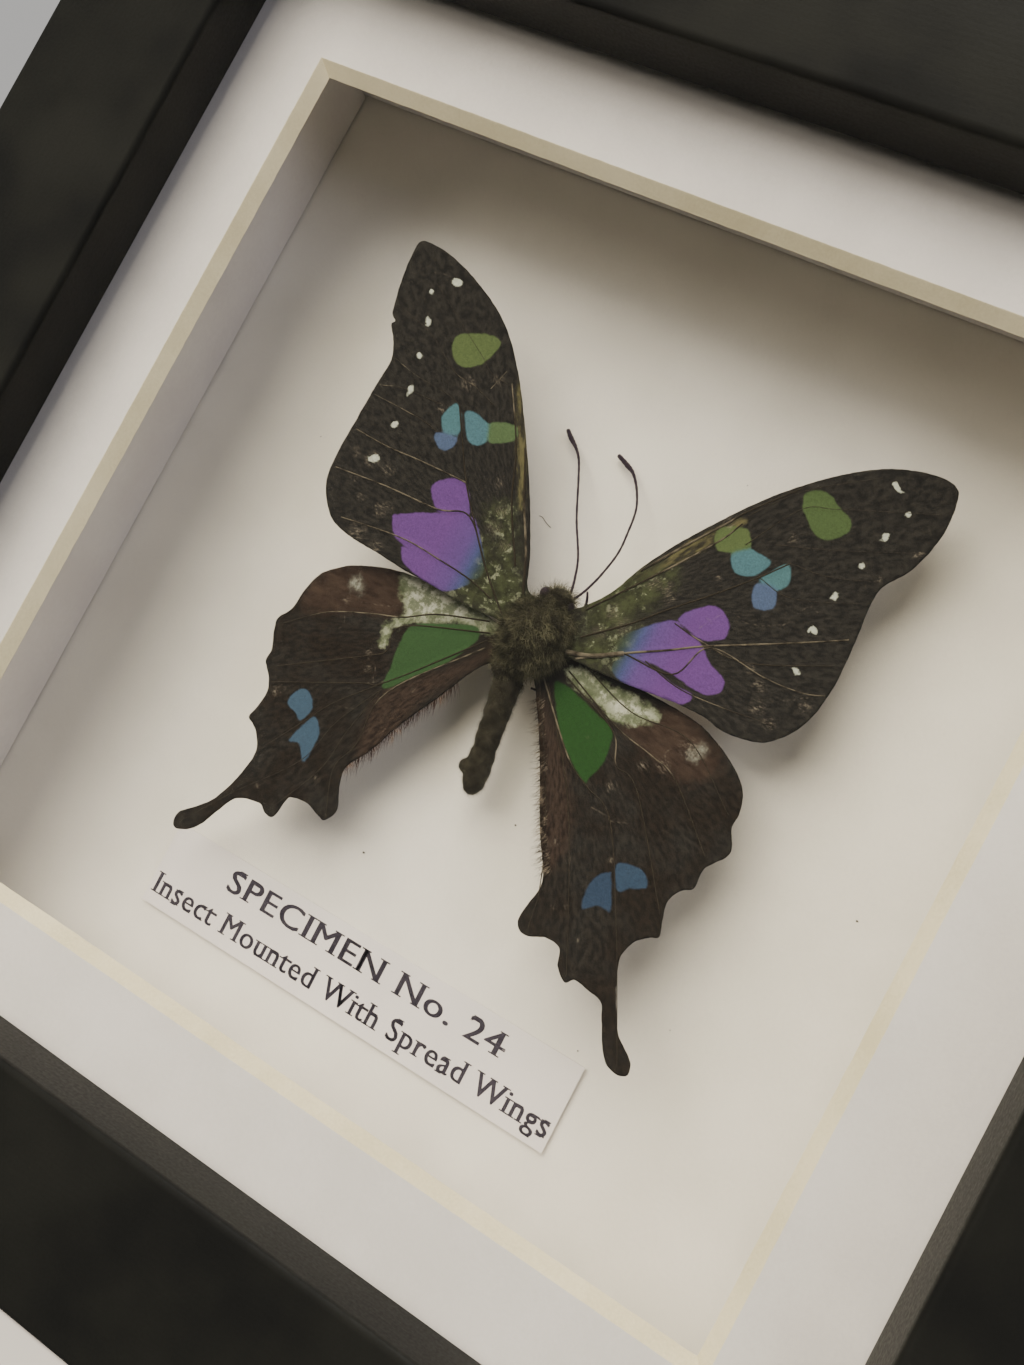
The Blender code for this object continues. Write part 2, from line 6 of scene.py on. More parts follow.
import bmesh
import bpy
import numpy as np
from mathutils import Matrix, Vector, noise
from mathutils.geometry import delaunay_2d_cdt


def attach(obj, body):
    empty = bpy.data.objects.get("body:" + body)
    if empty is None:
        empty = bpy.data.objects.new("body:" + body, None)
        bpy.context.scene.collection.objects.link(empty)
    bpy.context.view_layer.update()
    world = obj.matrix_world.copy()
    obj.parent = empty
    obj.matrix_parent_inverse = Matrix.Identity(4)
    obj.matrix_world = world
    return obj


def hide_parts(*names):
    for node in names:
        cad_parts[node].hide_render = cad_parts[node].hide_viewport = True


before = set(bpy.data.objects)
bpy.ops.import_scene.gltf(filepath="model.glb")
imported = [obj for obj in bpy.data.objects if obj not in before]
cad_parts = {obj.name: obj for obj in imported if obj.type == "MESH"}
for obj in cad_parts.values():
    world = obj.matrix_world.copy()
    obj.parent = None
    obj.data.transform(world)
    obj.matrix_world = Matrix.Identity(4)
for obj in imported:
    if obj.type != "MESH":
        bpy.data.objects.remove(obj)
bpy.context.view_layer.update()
mm = 0.001
centreZ = 75.0  # the frame's middle height
noise.seed_set(7)  # the same ragged edges on every run


# Small tools

def linear(code):
    channels = [int(code[i:i + 2], 16) / 255 for i in (0, 2, 4)]
    return (*(c / 12.92 if c <= 0.04045 else ((c + 0.055) / 1.055) ** 2.4 for c in channels), 1.0)


def feed(tree, node, inputs):
    # each input gets a plain value, a socket, or a node, which stands for its first live output
    for key, value in inputs.items():
        if isinstance(value, bpy.types.Node):
            value = next(socket for socket in value.outputs if socket.enabled)
        if isinstance(value, bpy.types.NodeSocket):
            tree.links.new(value, node.inputs[key])
        else:
            node.inputs[key].default_value = value


def addNode(tree, kind, inputs=None, **settings):
    node = tree.nodes.new(kind)
    for name, value in settings.items():
        setattr(node, name, value)
    feed(tree, node, inputs or {})
    return node


def startMaterial(name, **values):
    material = bpy.data.materials.new(name)
    material.use_nodes = True
    shader = material.node_tree.nodes["Principled BSDF"]
    for key, value in values.items():
        shader.inputs[key.replace("_", " ")].default_value = value
    return material, material.node_tree, shader


def millimetres(tree):
    place = addNode(tree, "ShaderNodeTexCoord").outputs["Object"]
    return addNode(tree, "ShaderNodeVectorMath", {0: place, "Scale": 1000.0}, operation="SCALE")


def shades(tree, pattern, low, high, dark, pale):
    # two colours spread over a pattern, the dark one up to low and the pale one from high
    share = addNode(tree, "ShaderNodeMapRange", {"Value": pattern, "From Min": low, "From Max": high},
                    interpolation_type="SMOOTHSTEP")
    return addNode(tree, "ShaderNodeMix", {0: share, 6: linear(dark), 7: linear(pale)}, data_type="RGBA")


def addObject(name, data):
    thing = bpy.data.objects.new(name, data)
    bpy.context.scene.collection.objects.link(thing)
    return thing


def addPiece(name, mesh, materials, slot, *replaced, smooth=False):
    for material in materials:
        mesh.materials.append(material)
    if smooth:
        mesh.shade_smooth()
    piece = addObject(name, mesh)
    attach(piece, "root")
    if replaced:
        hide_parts(*replaced)
    return piece


def meshFrom(bm, name, evenOut=True):
    if evenOut:
        bmesh.ops.recalc_face_normals(bm, faces=bm.faces)
    mesh = bpy.data.meshes.new(name)
    bm.to_mesh(mesh)
    bm.free()
    return mesh


def bakedMesh(piece):
    bpy.context.view_layer.update()
    graph = bpy.context.evaluated_depsgraph_get()
    mesh = bpy.data.meshes.new_from_object(piece.evaluated_get(graph))
    bpy.data.objects.remove(piece, do_unlink=True)
    return mesh


def thickened(mesh, thickness, offset):
    sheet = addObject(mesh.name, mesh)
    thick = sheet.modifiers.new("Thickness", "SOLIDIFY")
    thick.thickness = thickness * mm
    thick.offset = offset
    return bakedMesh(sheet)


def faceFront(mesh):
    if sum(face.normal.y for face in mesh.polygons) > 0:
        mesh.flip_normals()


def bridge(bm, first, second):
    # a band of faces from one closed ring to the next
    after = [*range(1, len(first)), 0]
    return [bm.faces.new((first[k], first[n], second[n], second[k])) for k, n in enumerate(after)]


def setMark(mesh, name, values):
    # a number at each point, for a material or a node tree to read
    mesh.attributes.new(name, "FLOAT", "POINT").data.foreach_set("value", np.array(values, np.float32))


def between(a, b, c, d, steps):
    # points on the smooth curve from each b on towards its c
    out = []
    for k in range(steps):
        t = k / steps
        out.append(0.5 * (2 * b + (c - a) * t + (2 * a - 5 * b + 4 * c - d) * t**2
                          + (3 * b - a - 3 * c + d) * t**3))
    return np.stack(out, axis=1).reshape(-1, b.shape[1])


def smoothLoop(points, steps):
    ring = np.array(points, float)
    before, after, later = (np.roll(ring, k, axis=0) for k in (1, -1, -2))
    return between(before, ring, after, later, steps)


def smoothLine(points, steps):
    line = np.array(points, float)
    line = np.vstack([2 * line[0] - line[1], line, 2 * line[-1] - line[-2]])
    return np.vstack([between(line[:-3], line[1:-2], line[2:-1], line[3:], steps), line[-2]])


def distanceToLine(points, line, closed=False):
    nearest = np.full(len(points), 1e9)
    ends = np.roll(line, -1, axis=0) if closed else line[1:]
    for start, end in zip(line, ends):
        run = end - start
        share = np.clip((points - start) @ run / max(run @ run, 1e-12), 0, 1)
        nearest = np.minimum(nearest, np.linalg.norm(points - start - share[:, None] * run, axis=1))
    return nearest


def insideBy(points, loop):
    # distance to the loop in its own unit, positive inside
    inside = np.zeros(len(points), bool)
    x, y = points.T
    for (ax, ay), (bx, by) in zip(loop, np.roll(loop, -1, axis=0)):
        if ay != by:
            inside ^= ((ay > y) != (by > y)) & (x < ax + (y - ay) * (bx - ax) / (by - ay))
    return np.where(inside, 1.0, -1.0) * distanceToLine(points, loop, closed=True)


# Camera, floor and light

camera = {
    "place": (29.4, -106.7, 69.0),
    "aim": (-1.6, 10.8, 72.0),
    "roll": 28.1,  # degrees, the frame leans to the right in the picture
    "lens": 27.65,
    "sensor": 36,
    "nearest": 5.0,
}
lights = {
    # name: place in metres, aim, width, power in watts, colour, seen in reflections
    "keyPanel": ((-0.33, -0.64, 0.54), (0.0, 0.01, 0.08), 0.85, 19.5, "fff3df", False),
    "lowPanel": ((-0.34, -0.44, 0.1), (-0.03, 0.0, 0.05), 0.3, 1.3, "fff2e0", False),
    "roomPanel": ((0.85, -0.8, 0.4), (0.0, 0.0, 0.07), 0.7, 4.2, "f6f2ff", False),
    "skyPanel": ((0.0, -0.2, 1.1), (0.0, 0.0, 0.07), 0.8, 4.0, "fffaf2", True),
}
studio = {
    # a pale backdrop for the camera that lights the object little, and a floor, 3 m wide
    "air": "e9e7e4", "airOnObject": 0.14, "airInView": 0.6, "floorHalf": 1500, "floorCloud": 60,
}


def makeCamera():
    data = bpy.data.cameras.new("photoView")
    data.lens = camera["lens"]
    data.sensor_width = camera["sensor"]
    data.clip_start = camera["nearest"] * mm
    seat = addObject("photoView", data)
    place, aim = (Vector(camera[k]) * mm for k in ("place", "aim"))
    turn = (aim - place).to_track_quat("-Z", "Y").to_matrix().to_4x4()
    roll = Matrix.Rotation(math.radians(camera["roll"]), 4, "Z")
    seat.matrix_world = Matrix.Translation(place) @ turn @ roll
    bpy.context.scene.camera = seat


def makeStudio():
    for name, (place, aim, width, power, colour, mirrored) in lights.items():
        data = bpy.data.lights.new(name, "AREA")
        data.shape = "DISK"
        data.size = width
        data.energy = power
        data.color = linear(colour)[:3]
        lamp = addObject(name, data)
        turn = (Vector(aim) - Vector(place)).to_track_quat("-Z", "Y").to_matrix().to_4x4()
        lamp.matrix_world = Matrix.Translation(place) @ turn
        lamp.visible_glossy = mirrored
        lamp.visible_transmission = mirrored
    world = bpy.data.worlds.new("studioAir")
    bpy.context.scene.world = world
    world.use_nodes = True
    back = world.node_tree.nodes["Background"]
    back.inputs["Color"].default_value = linear(studio["air"])
    seen = addNode(world.node_tree, "ShaderNodeLightPath").outputs["Is Camera Ray"]
    glow = addNode(world.node_tree, "ShaderNodeMapRange", {
        "Value": seen, "To Min": studio["airOnObject"], "To Max": studio["airInView"]})
    feed(world.node_tree, back, {"Strength": glow})
    bm = bmesh.new()
    bmesh.ops.create_grid(bm, x_segments=1, y_segments=1, size=studio["floorHalf"] * mm)
    mesh = meshFrom(bm, "floor")
    # a plain painted floor: pale, matt and faintly clouded
    material, tree, shader = startMaterial("paleFloorPaint", Roughness=0.7)
    cloud = addNode(tree, "ShaderNodeTexNoise", {
        "Vector": millimetres(tree), "Scale": 1 / studio["floorCloud"], "Detail": 3.0})
    feed(tree, shader, {"Base Color": shades(tree, cloud, 0.3, 0.7, "d6d3ce", "dedbd6")})
    mesh.materials.append(material)
    floor = addObject("floor", mesh)
    floor.visible_glossy = False  # the floor isn't mirrored in the glass
    floor.visible_transmission = False


makeCamera()
makeStudio()
print("camera and lights are up")


# Frame: black lacquered rails, mitred at the corners

rails = {
    "side": 150.0, "front": -18.0, "back": 18.0, "sight": 56.75, "rebate": 61.7, "lipBack": -11.8,
    "edge": 0.8, "edgeSteps": 8, "mitreGap": 0.03, "easing": 0.12,
    "shrink": 0.01,  # share by which the eased end of a rail is smaller
    "sharp": 32,  # degrees, a steeper fold stays a crisp edge
    "grainShift": 400,  # mm of wood grain from one rail to the next
}


def railProfile():
    outer, edge = rails["side"] / 2, rails["edge"]
    corners = (
        (rails["sight"] + edge, rails["front"] + edge, 180),
        (outer - edge, rails["front"] + edge, 270),
        (outer - edge, rails["back"] - edge, 0),
    )
    points = []
    for across, depth, start in corners:
        for k in range(rails["edgeSteps"] + 1):
            angle = math.radians(start + 90 * k / rails["edgeSteps"])
            points.append((across + edge * math.cos(angle), depth + edge * math.sin(angle)))
    points += [(rails["rebate"], rails["back"]), (rails["rebate"], rails["lipBack"]),
               (rails["sight"], rails["lipBack"])]
    return np.array(points)


def lacquer():
    # black lacquer sprayed on wood: deep and even, with a low grain that breaks up the shine
    material, tree, shader = startMaterial("satinBlackLacquer", Roughness=0.45, Specular_IOR_Level=0.3)
    along = addNode(tree, "ShaderNodeUVMap", uv_map="grain")
    drawn = addNode(tree, "ShaderNodeMapping", {"Vector": along, "Scale": (0.16, 1.0, 1.0)})
    grain = addNode(tree, "ShaderNodeTexNoise", {
        "Vector": drawn, "Scale": 1 / 0.7, "Detail": 4.0, "Roughness": 0.6})
    pores = addNode(tree, "ShaderNodeTexNoise", {"Vector": along, "Scale": 1 / 0.35})
    cloud = addNode(tree, "ShaderNodeTexNoise", {"Vector": along, "Scale": 1 / 14, "Detail": 3.0})
    shine = addNode(tree, "ShaderNodeMapRange", {
        "Value": pores, "From Min": 0.25, "From Max": 0.75, "To Min": 0.4, "To Max": 0.58})
    height = addNode(tree, "ShaderNodeMath", {0: pores, 1: 0.5, 2: grain}, operation="MULTIPLY_ADD")
    relief = addNode(tree, "ShaderNodeBump", {"Height": height, "Distance": 0.02 * mm})
    black = shades(tree, cloud, 0.3, 0.7, "101111", "181917")
    feed(tree, shader, {"Base Color": black, "Roughness": shine, "Normal": relief})
    return material


def makeRails():
    full = railProfile()
    middle = full.mean(0)
    eased = full + (middle - full) * rails["shrink"]
    reach = np.linalg.norm(np.roll(full, -1, axis=0) - full, axis=1)
    around = np.concatenate([[0], np.cumsum(reach)])
    black = lacquer()
    for quarter, side in enumerate(("bottom", "left", "top", "right")):
        bm = bmesh.new()
        layer = bm.loops.layers.uv.new("grain")
        rings = []
        for end, inset, shape in ((-1, 0, eased), (-1, rails["easing"], full),
                                  (1, rails["easing"], full), (1, 0, eased)):
            rings.append([
                bm.verts.new((end * (u - rails["mitreGap"] - inset), y, -u)) for u, y in shape])
        for first, second in zip(rings, rings[1:]):
            for face, near, far in zip(bridge(bm, first, second), around, around[1:]):
                for loop, v in zip(face.loops, (near, far, far, near)):
                    loop[layer].uv = (loop.vert.co.x + rails["grainShift"] * quarter, v)
        bm.faces.new(rings[0])
        bm.faces.new(rings[-1][::-1])
        turn = Matrix.Translation((0, 0, centreZ)) @ Matrix.Rotation(quarter * math.pi / 2, 4, "Y")
        bmesh.ops.transform(bm, matrix=Matrix.Scale(mm, 4) @ turn, verts=bm.verts)
        mesh = meshFrom(bm, f"lacquered_rail_{side}")
        mesh.shade_smooth()
        mesh.set_sharp_from_angle(angle=math.radians(rails["sharp"]))
        addPiece(mesh.name, mesh, [black], "black_lacquer", f"rail_{side}")


makeRails()
print("rails are mitred")


# Glass, mat, well, board and backing

mat = {
    "half": 61.4, "front": -9.2, "thickness": 1.4, "window": 47.7, "bevel": 1.1,
    "windowX": -0.6, "windowZ": 74.5, "cutWave": 0.035, "cutStep": 0.6, "cutGrain": 0.8,
    "cutCorners": (
        # the knife leaves the cut's corners a little soft: shift across, shift in depth, share of the wave
        (0.05, 0.0, 1.0), (-0.04, 0.08, 1.0), (0.03, -0.04, 1.5), (0.05, 0.0, 1.0)),
}


def glass():
    # float glass: clear, faintly green at the edge, and it lets the lamps through
    return startMaterial("clearFloatGlass", Base_Color=linear("fbfdfc"), Roughness=0.0, IOR=1.5,
                         Transmission_Weight=1.0)[0]


def card(name, pale, dark, tooth, roughness=0.85):
    # uncoated card: matt, with a fine felt tooth and a faint cloudiness
    material, tree, shader = startMaterial(name, Roughness=roughness, Specular_IOR_Level=0.25)
    space = millimetres(tree)
    cloud = addNode(tree, "ShaderNodeTexNoise", {"Vector": space, "Scale": 1 / 9, "Detail": 3.0})
    felt = addNode(tree, "ShaderNodeTexNoise", {
        "Vector": space, "Scale": 1 / tooth, "Detail": 3.0, "Roughness": 0.6})
    both = addNode(tree, "ShaderNodeMath", {0: cloud, 1: 1.5, 2: felt}, operation="MULTIPLY_ADD")
    relief = addNode(tree, "ShaderNodeBump", {"Height": felt, "Distance": 0.012 * mm})
    feed(tree, shader, {"Base Color": shades(tree, both, 0.8, 1.7, dark, pale), "Normal": relief})
    return material


def fibreboard():
    # hardboard: pressed brown fibres that lie every way
    material, tree, shader = startMaterial("hardboard", Roughness=0.7)
    space = millimetres(tree)
    drawn = addNode(tree, "ShaderNodeMapping", {"Vector": space, "Scale": (1.0, 1.0, 0.25)})
    fibres = addNode(tree, "ShaderNodeTexNoise", {
        "Vector": drawn, "Scale": 1 / 0.7, "Detail": 4.0, "Roughness": 0.65})
    clumps = addNode(tree, "ShaderNodeTexNoise", {"Vector": space, "Scale": 1 / 5, "Detail": 3.0})
    both = addNode(tree, "ShaderNodeMath", {0: fibres, 1: clumps})
    relief = addNode(tree, "ShaderNodeBump", {"Height": fibres, "Distance": 0.05 * mm})
    feed(tree, shader, {"Base Color": shades(tree, both, 0.6, 1.4, "5a412d", "8a6a4b"), "Normal": relief})
    return material


def zincSteel():
    # zinc-plated sheet: grey, with the soft spangle of the plating
    material, tree, shader = startMaterial("zincPlatedSteel", Base_Color=linear("b9babb"), Metallic=1.0)
    space = millimetres(tree)
    spangle = addNode(tree, "ShaderNodeTexVoronoi", {"Vector": space, "Scale": 1.1}).outputs["Color"]
    level = addNode(tree, "ShaderNodeSeparateColor", {"Color": spangle})
    shine = addNode(tree, "ShaderNodeMapRange", {"Value": level, "To Min": 0.26, "To Max": 0.42})
    dents = addNode(tree, "ShaderNodeTexNoise", {"Vector": space, "Scale": 2.0, "Detail": 3.0})
    relief = addNode(tree, "ShaderNodeBump", {"Height": dents, "Distance": 0.004 * mm})
    feed(tree, shader, {"Roughness": shine, "Normal": relief})
    return material


def makeMat(paper):
    core = card("creamMatCore", "e8dfbf", "d4cba8", 0.25)  # the bevel shows the board's yellowed core
    half, front, back = mat["half"], mat["front"], mat["front"] + mat["thickness"]
    steps = int(2 * mat["window"] / mat["cutStep"])
    sides = ((-1, -1, 1, -1), (1, -1, 1, 1), (1, 1, -1, 1), (-1, 1, -1, -1))

    def ring(size, depth, wave, x0, z0):
        points = []
        for ax, az, bx, bz in sides:
            for k in range(steps):
                t = k / steps
                x, z = ax + (bx - ax) * t, az + (bz - az) * t
                grain = size * mat["cutGrain"]
                push = wave * noise.noise(Vector((x * grain, z * grain, depth)))
                points.append((x0 + x * (size + push), depth, z0 + z * (size + push)))
        return points

    x0, z0 = mat["windowX"], mat["windowZ"]
    wide, narrow = mat["window"], mat["window"] - mat["bevel"]
    stations = [ring(half, front, 0, 0, centreZ)]
    for (size, depth), (across, deep, share) in zip(
            ((wide, front), (wide, front), (narrow, back), (narrow, back)), mat["cutCorners"]):
        stations.append(ring(size + across, depth + deep, mat["cutWave"] * share, x0, z0))
    stations.append(ring(half, back, 0, 0, centreZ))
    bm = bmesh.new()
    rings = [[bm.verts.new(Vector(p) * mm) for p in points] for points in stations]
    for n, first in enumerate(rings):
        for face in bridge(bm, first, rings[(n + 1) % len(rings)]):
            face.material_index = int(n in (1, 2, 3))  # the cut shows the core
    mesh = meshFrom(bm, "bevelled_mat")
    addPiece("bevelled_mat", mesh, [paper, core], "white_card", "mat_board")


def dress(material, *names):
    for name in names:
        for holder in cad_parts[name].material_slots:
            holder.material = material


matPaper = card("whiteMatPaper", "dedad6", "d4d0cc", 0.3)
wellPaper = card("whiteWellCard", "dcd8d4", "d2cdca", 0.5)
boardPaper = card("whiteMountBoard", "ebe7dc", "e1ddd2", 0.4)
foamRubber = card("whiteFoam", "dedbd4", "c3bfb6", 0.2)
dress(glass(), "glass_pane")
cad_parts["glass_pane"].visible_shadow = False  # the lamps shine in through it
makeMat(matPaper)
dress(wellPaper, *(f"well_wall_{side}" for side in ("top", "bottom", "left", "right")))
dress(boardPaper, "mount_board")
dress(foamRubber, "foam_riser")
dress(fibreboard(), "backing_board")
hardware = [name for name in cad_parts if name.startswith(("tab_", "hanger"))]
dress(zincSteel(), *hardware)
print("glass, mat, well and back are dressed")


# Label: a thin paper slip with two printed lines

label = {
    "width": 55.4, "height": 10.2, "centre": (-1.6, 33.6), "turn": 0.6, "front": 10.25,
    "thickness": 0.16, "curl": 0.05, "ink": 0.014, "inkLift": 0.015, "spacing": 1.08,
    "lines": (
        # words, width, height of a capital, height of the line above the label's middle
        ("SPECIMEN No. 24", 38.0, 2.75, 1.1), ("Insect Mounted With Spread Wings", 54.5, 2.6, -3.6)),
}
letters = {
    # in the font's own unit: a capital's height, how much wider a stem gets, and a serif's two sizes.
    # A stem's end is level, between narrowest and widest across, in a letter at least as tall as tallFrom.
    "capital": 0.7, "stem": 0.034, "serif": (0.075, 0.04),
    "level": 0.01, "narrowest": 0.03, "widest": 0.16, "tallFrom": 0.3, "weld": 1e-5,
}


def labelPlace(along, up, proud):
    ends, corner = abs(along) / (label["width"] / 2), up / (label["height"] / 2)
    curl = label["curl"] * ends ** 3 * (0.6 + 0.4 * corner)
    turn = math.radians(label["turn"])
    x = label["centre"][0] + along * math.cos(turn) - up * math.sin(turn)
    z = label["centre"][1] + along * math.sin(turn) + up * math.cos(turn)
    return Vector((x, label["front"] - curl - proud, z)) * mm


def makeLabel():
    paper = card("labelPaper", "e6e1dc", "dcd7d3", 0.25, 0.75)
    bm = bmesh.new()
    bmesh.ops.create_grid(bm, x_segments=60, y_segments=12, size=0.5)
    for vert in bm.verts:
        vert.co = labelPlace(vert.co.x * label["width"], vert.co.y * label["height"], 0)
    mesh = meshFrom(bm, "slip")
    backwards = 1 if mesh.polygons[0].normal.y > 0 else -1
    slip = thickened(mesh, label["thickness"], backwards)
    addPiece("label_slip", slip, [paper], "label_paper", "label_card")
    # laser print: dark grey with a purple cast, a little broken by the paper's tooth
    ink, tree, shader = startMaterial("greyPrintInk", Roughness=0.6)
    felt = addNode(tree, "ShaderNodeTexNoise", {"Vector": millimetres(tree), "Scale": 1 / 0.18})
    feed(tree, shader, {"Base Color": shades(tree, felt, 0.3, 0.75, "29252e", "45404a")})
    for number, (words, width, height, base) in enumerate(label["lines"], 1):
        text = bpy.data.curves.new(f"line{number}", "FONT")
        text.body = words
        text.align_x = "CENTER"
        text.resolution_u = 4
        text.space_character = label["spacing"]
        bm = bmesh.new()
        bm.from_mesh(bakedMesh(addObject(f"line{number}", text)))
        addSerifs(bm)
        twin = bmesh.ops.duplicate(bm, geom=list(bm.faces))["geom"]  # stems a little heavier than the bars
        for vert in (v for v in twin if isinstance(v, bmesh.types.BMVert)):
            vert.co.x += letters["stem"]
        spanX = np.ptp([v.co.x for v in bm.verts])
        for vert in bm.verts:
            along, up = vert.co.x * width / spanX, base + vert.co.y * height / letters["capital"]
            vert.co = labelPlace(along, up, label["inkLift"])
        mesh = meshFrom(bm, f"print{number}", evenOut=False)
        faceFront(mesh)
        addPiece(f"label_print_{number}", thickened(mesh, label["ink"], -1), [ink], "label_paper")


def addSerifs(bm):
    # a short bar across each stem's end, to turn the plain letters into book type
    bmesh.ops.remove_doubles(bm, verts=bm.verts, dist=letters["weld"])
    island = {}  # a face's letter, as the list of all its faces
    for face in bm.faces:
        if face in island:
            continue
        group, queue = [], [face]
        island[face] = group
        while queue:
            at = queue.pop()
            group.append(at)
            for edge in at.edges:
                for other in edge.link_faces:
                    if other not in island:
                        island[other] = group
                        queue.append(other)
    bars = []
    for edge in bm.edges:
        (ax, ay, _), (bx, by, _) = (v.co for v in edge.verts)
        level = abs(ay - by) <= letters["level"]
        if len(edge.link_faces) != 1 or not level:
            continue
        if not letters["narrowest"] < abs(ax - bx) < letters["widest"]:
            continue
        face = edge.link_faces[0]
        if np.ptp([v.co.y for f in island[face] for v in f.verts]) < letters["tallFrom"]:
            continue
        upwards = 1 if face.calc_center_median().y > ay else -1
        wide, high = letters["serif"]
        bars.append((min(ax, bx) - wide, max(ax, bx) + wide, ay, ay + high * upwards))
    for left, right, start, end in bars:
        low, high = sorted((start, end))
        corners = ((left, low), (right, low), (right, high), (left, high))
        bm.faces.new([bm.verts.new((x, y, 0)) for x, y in corners])


makeLabel()
print("label is printed")


# Wings. A wing is drawn flat from its hinge, as (outwards, upwards), and laid on the bowed
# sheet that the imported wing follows. Markings use the same flat numbers.

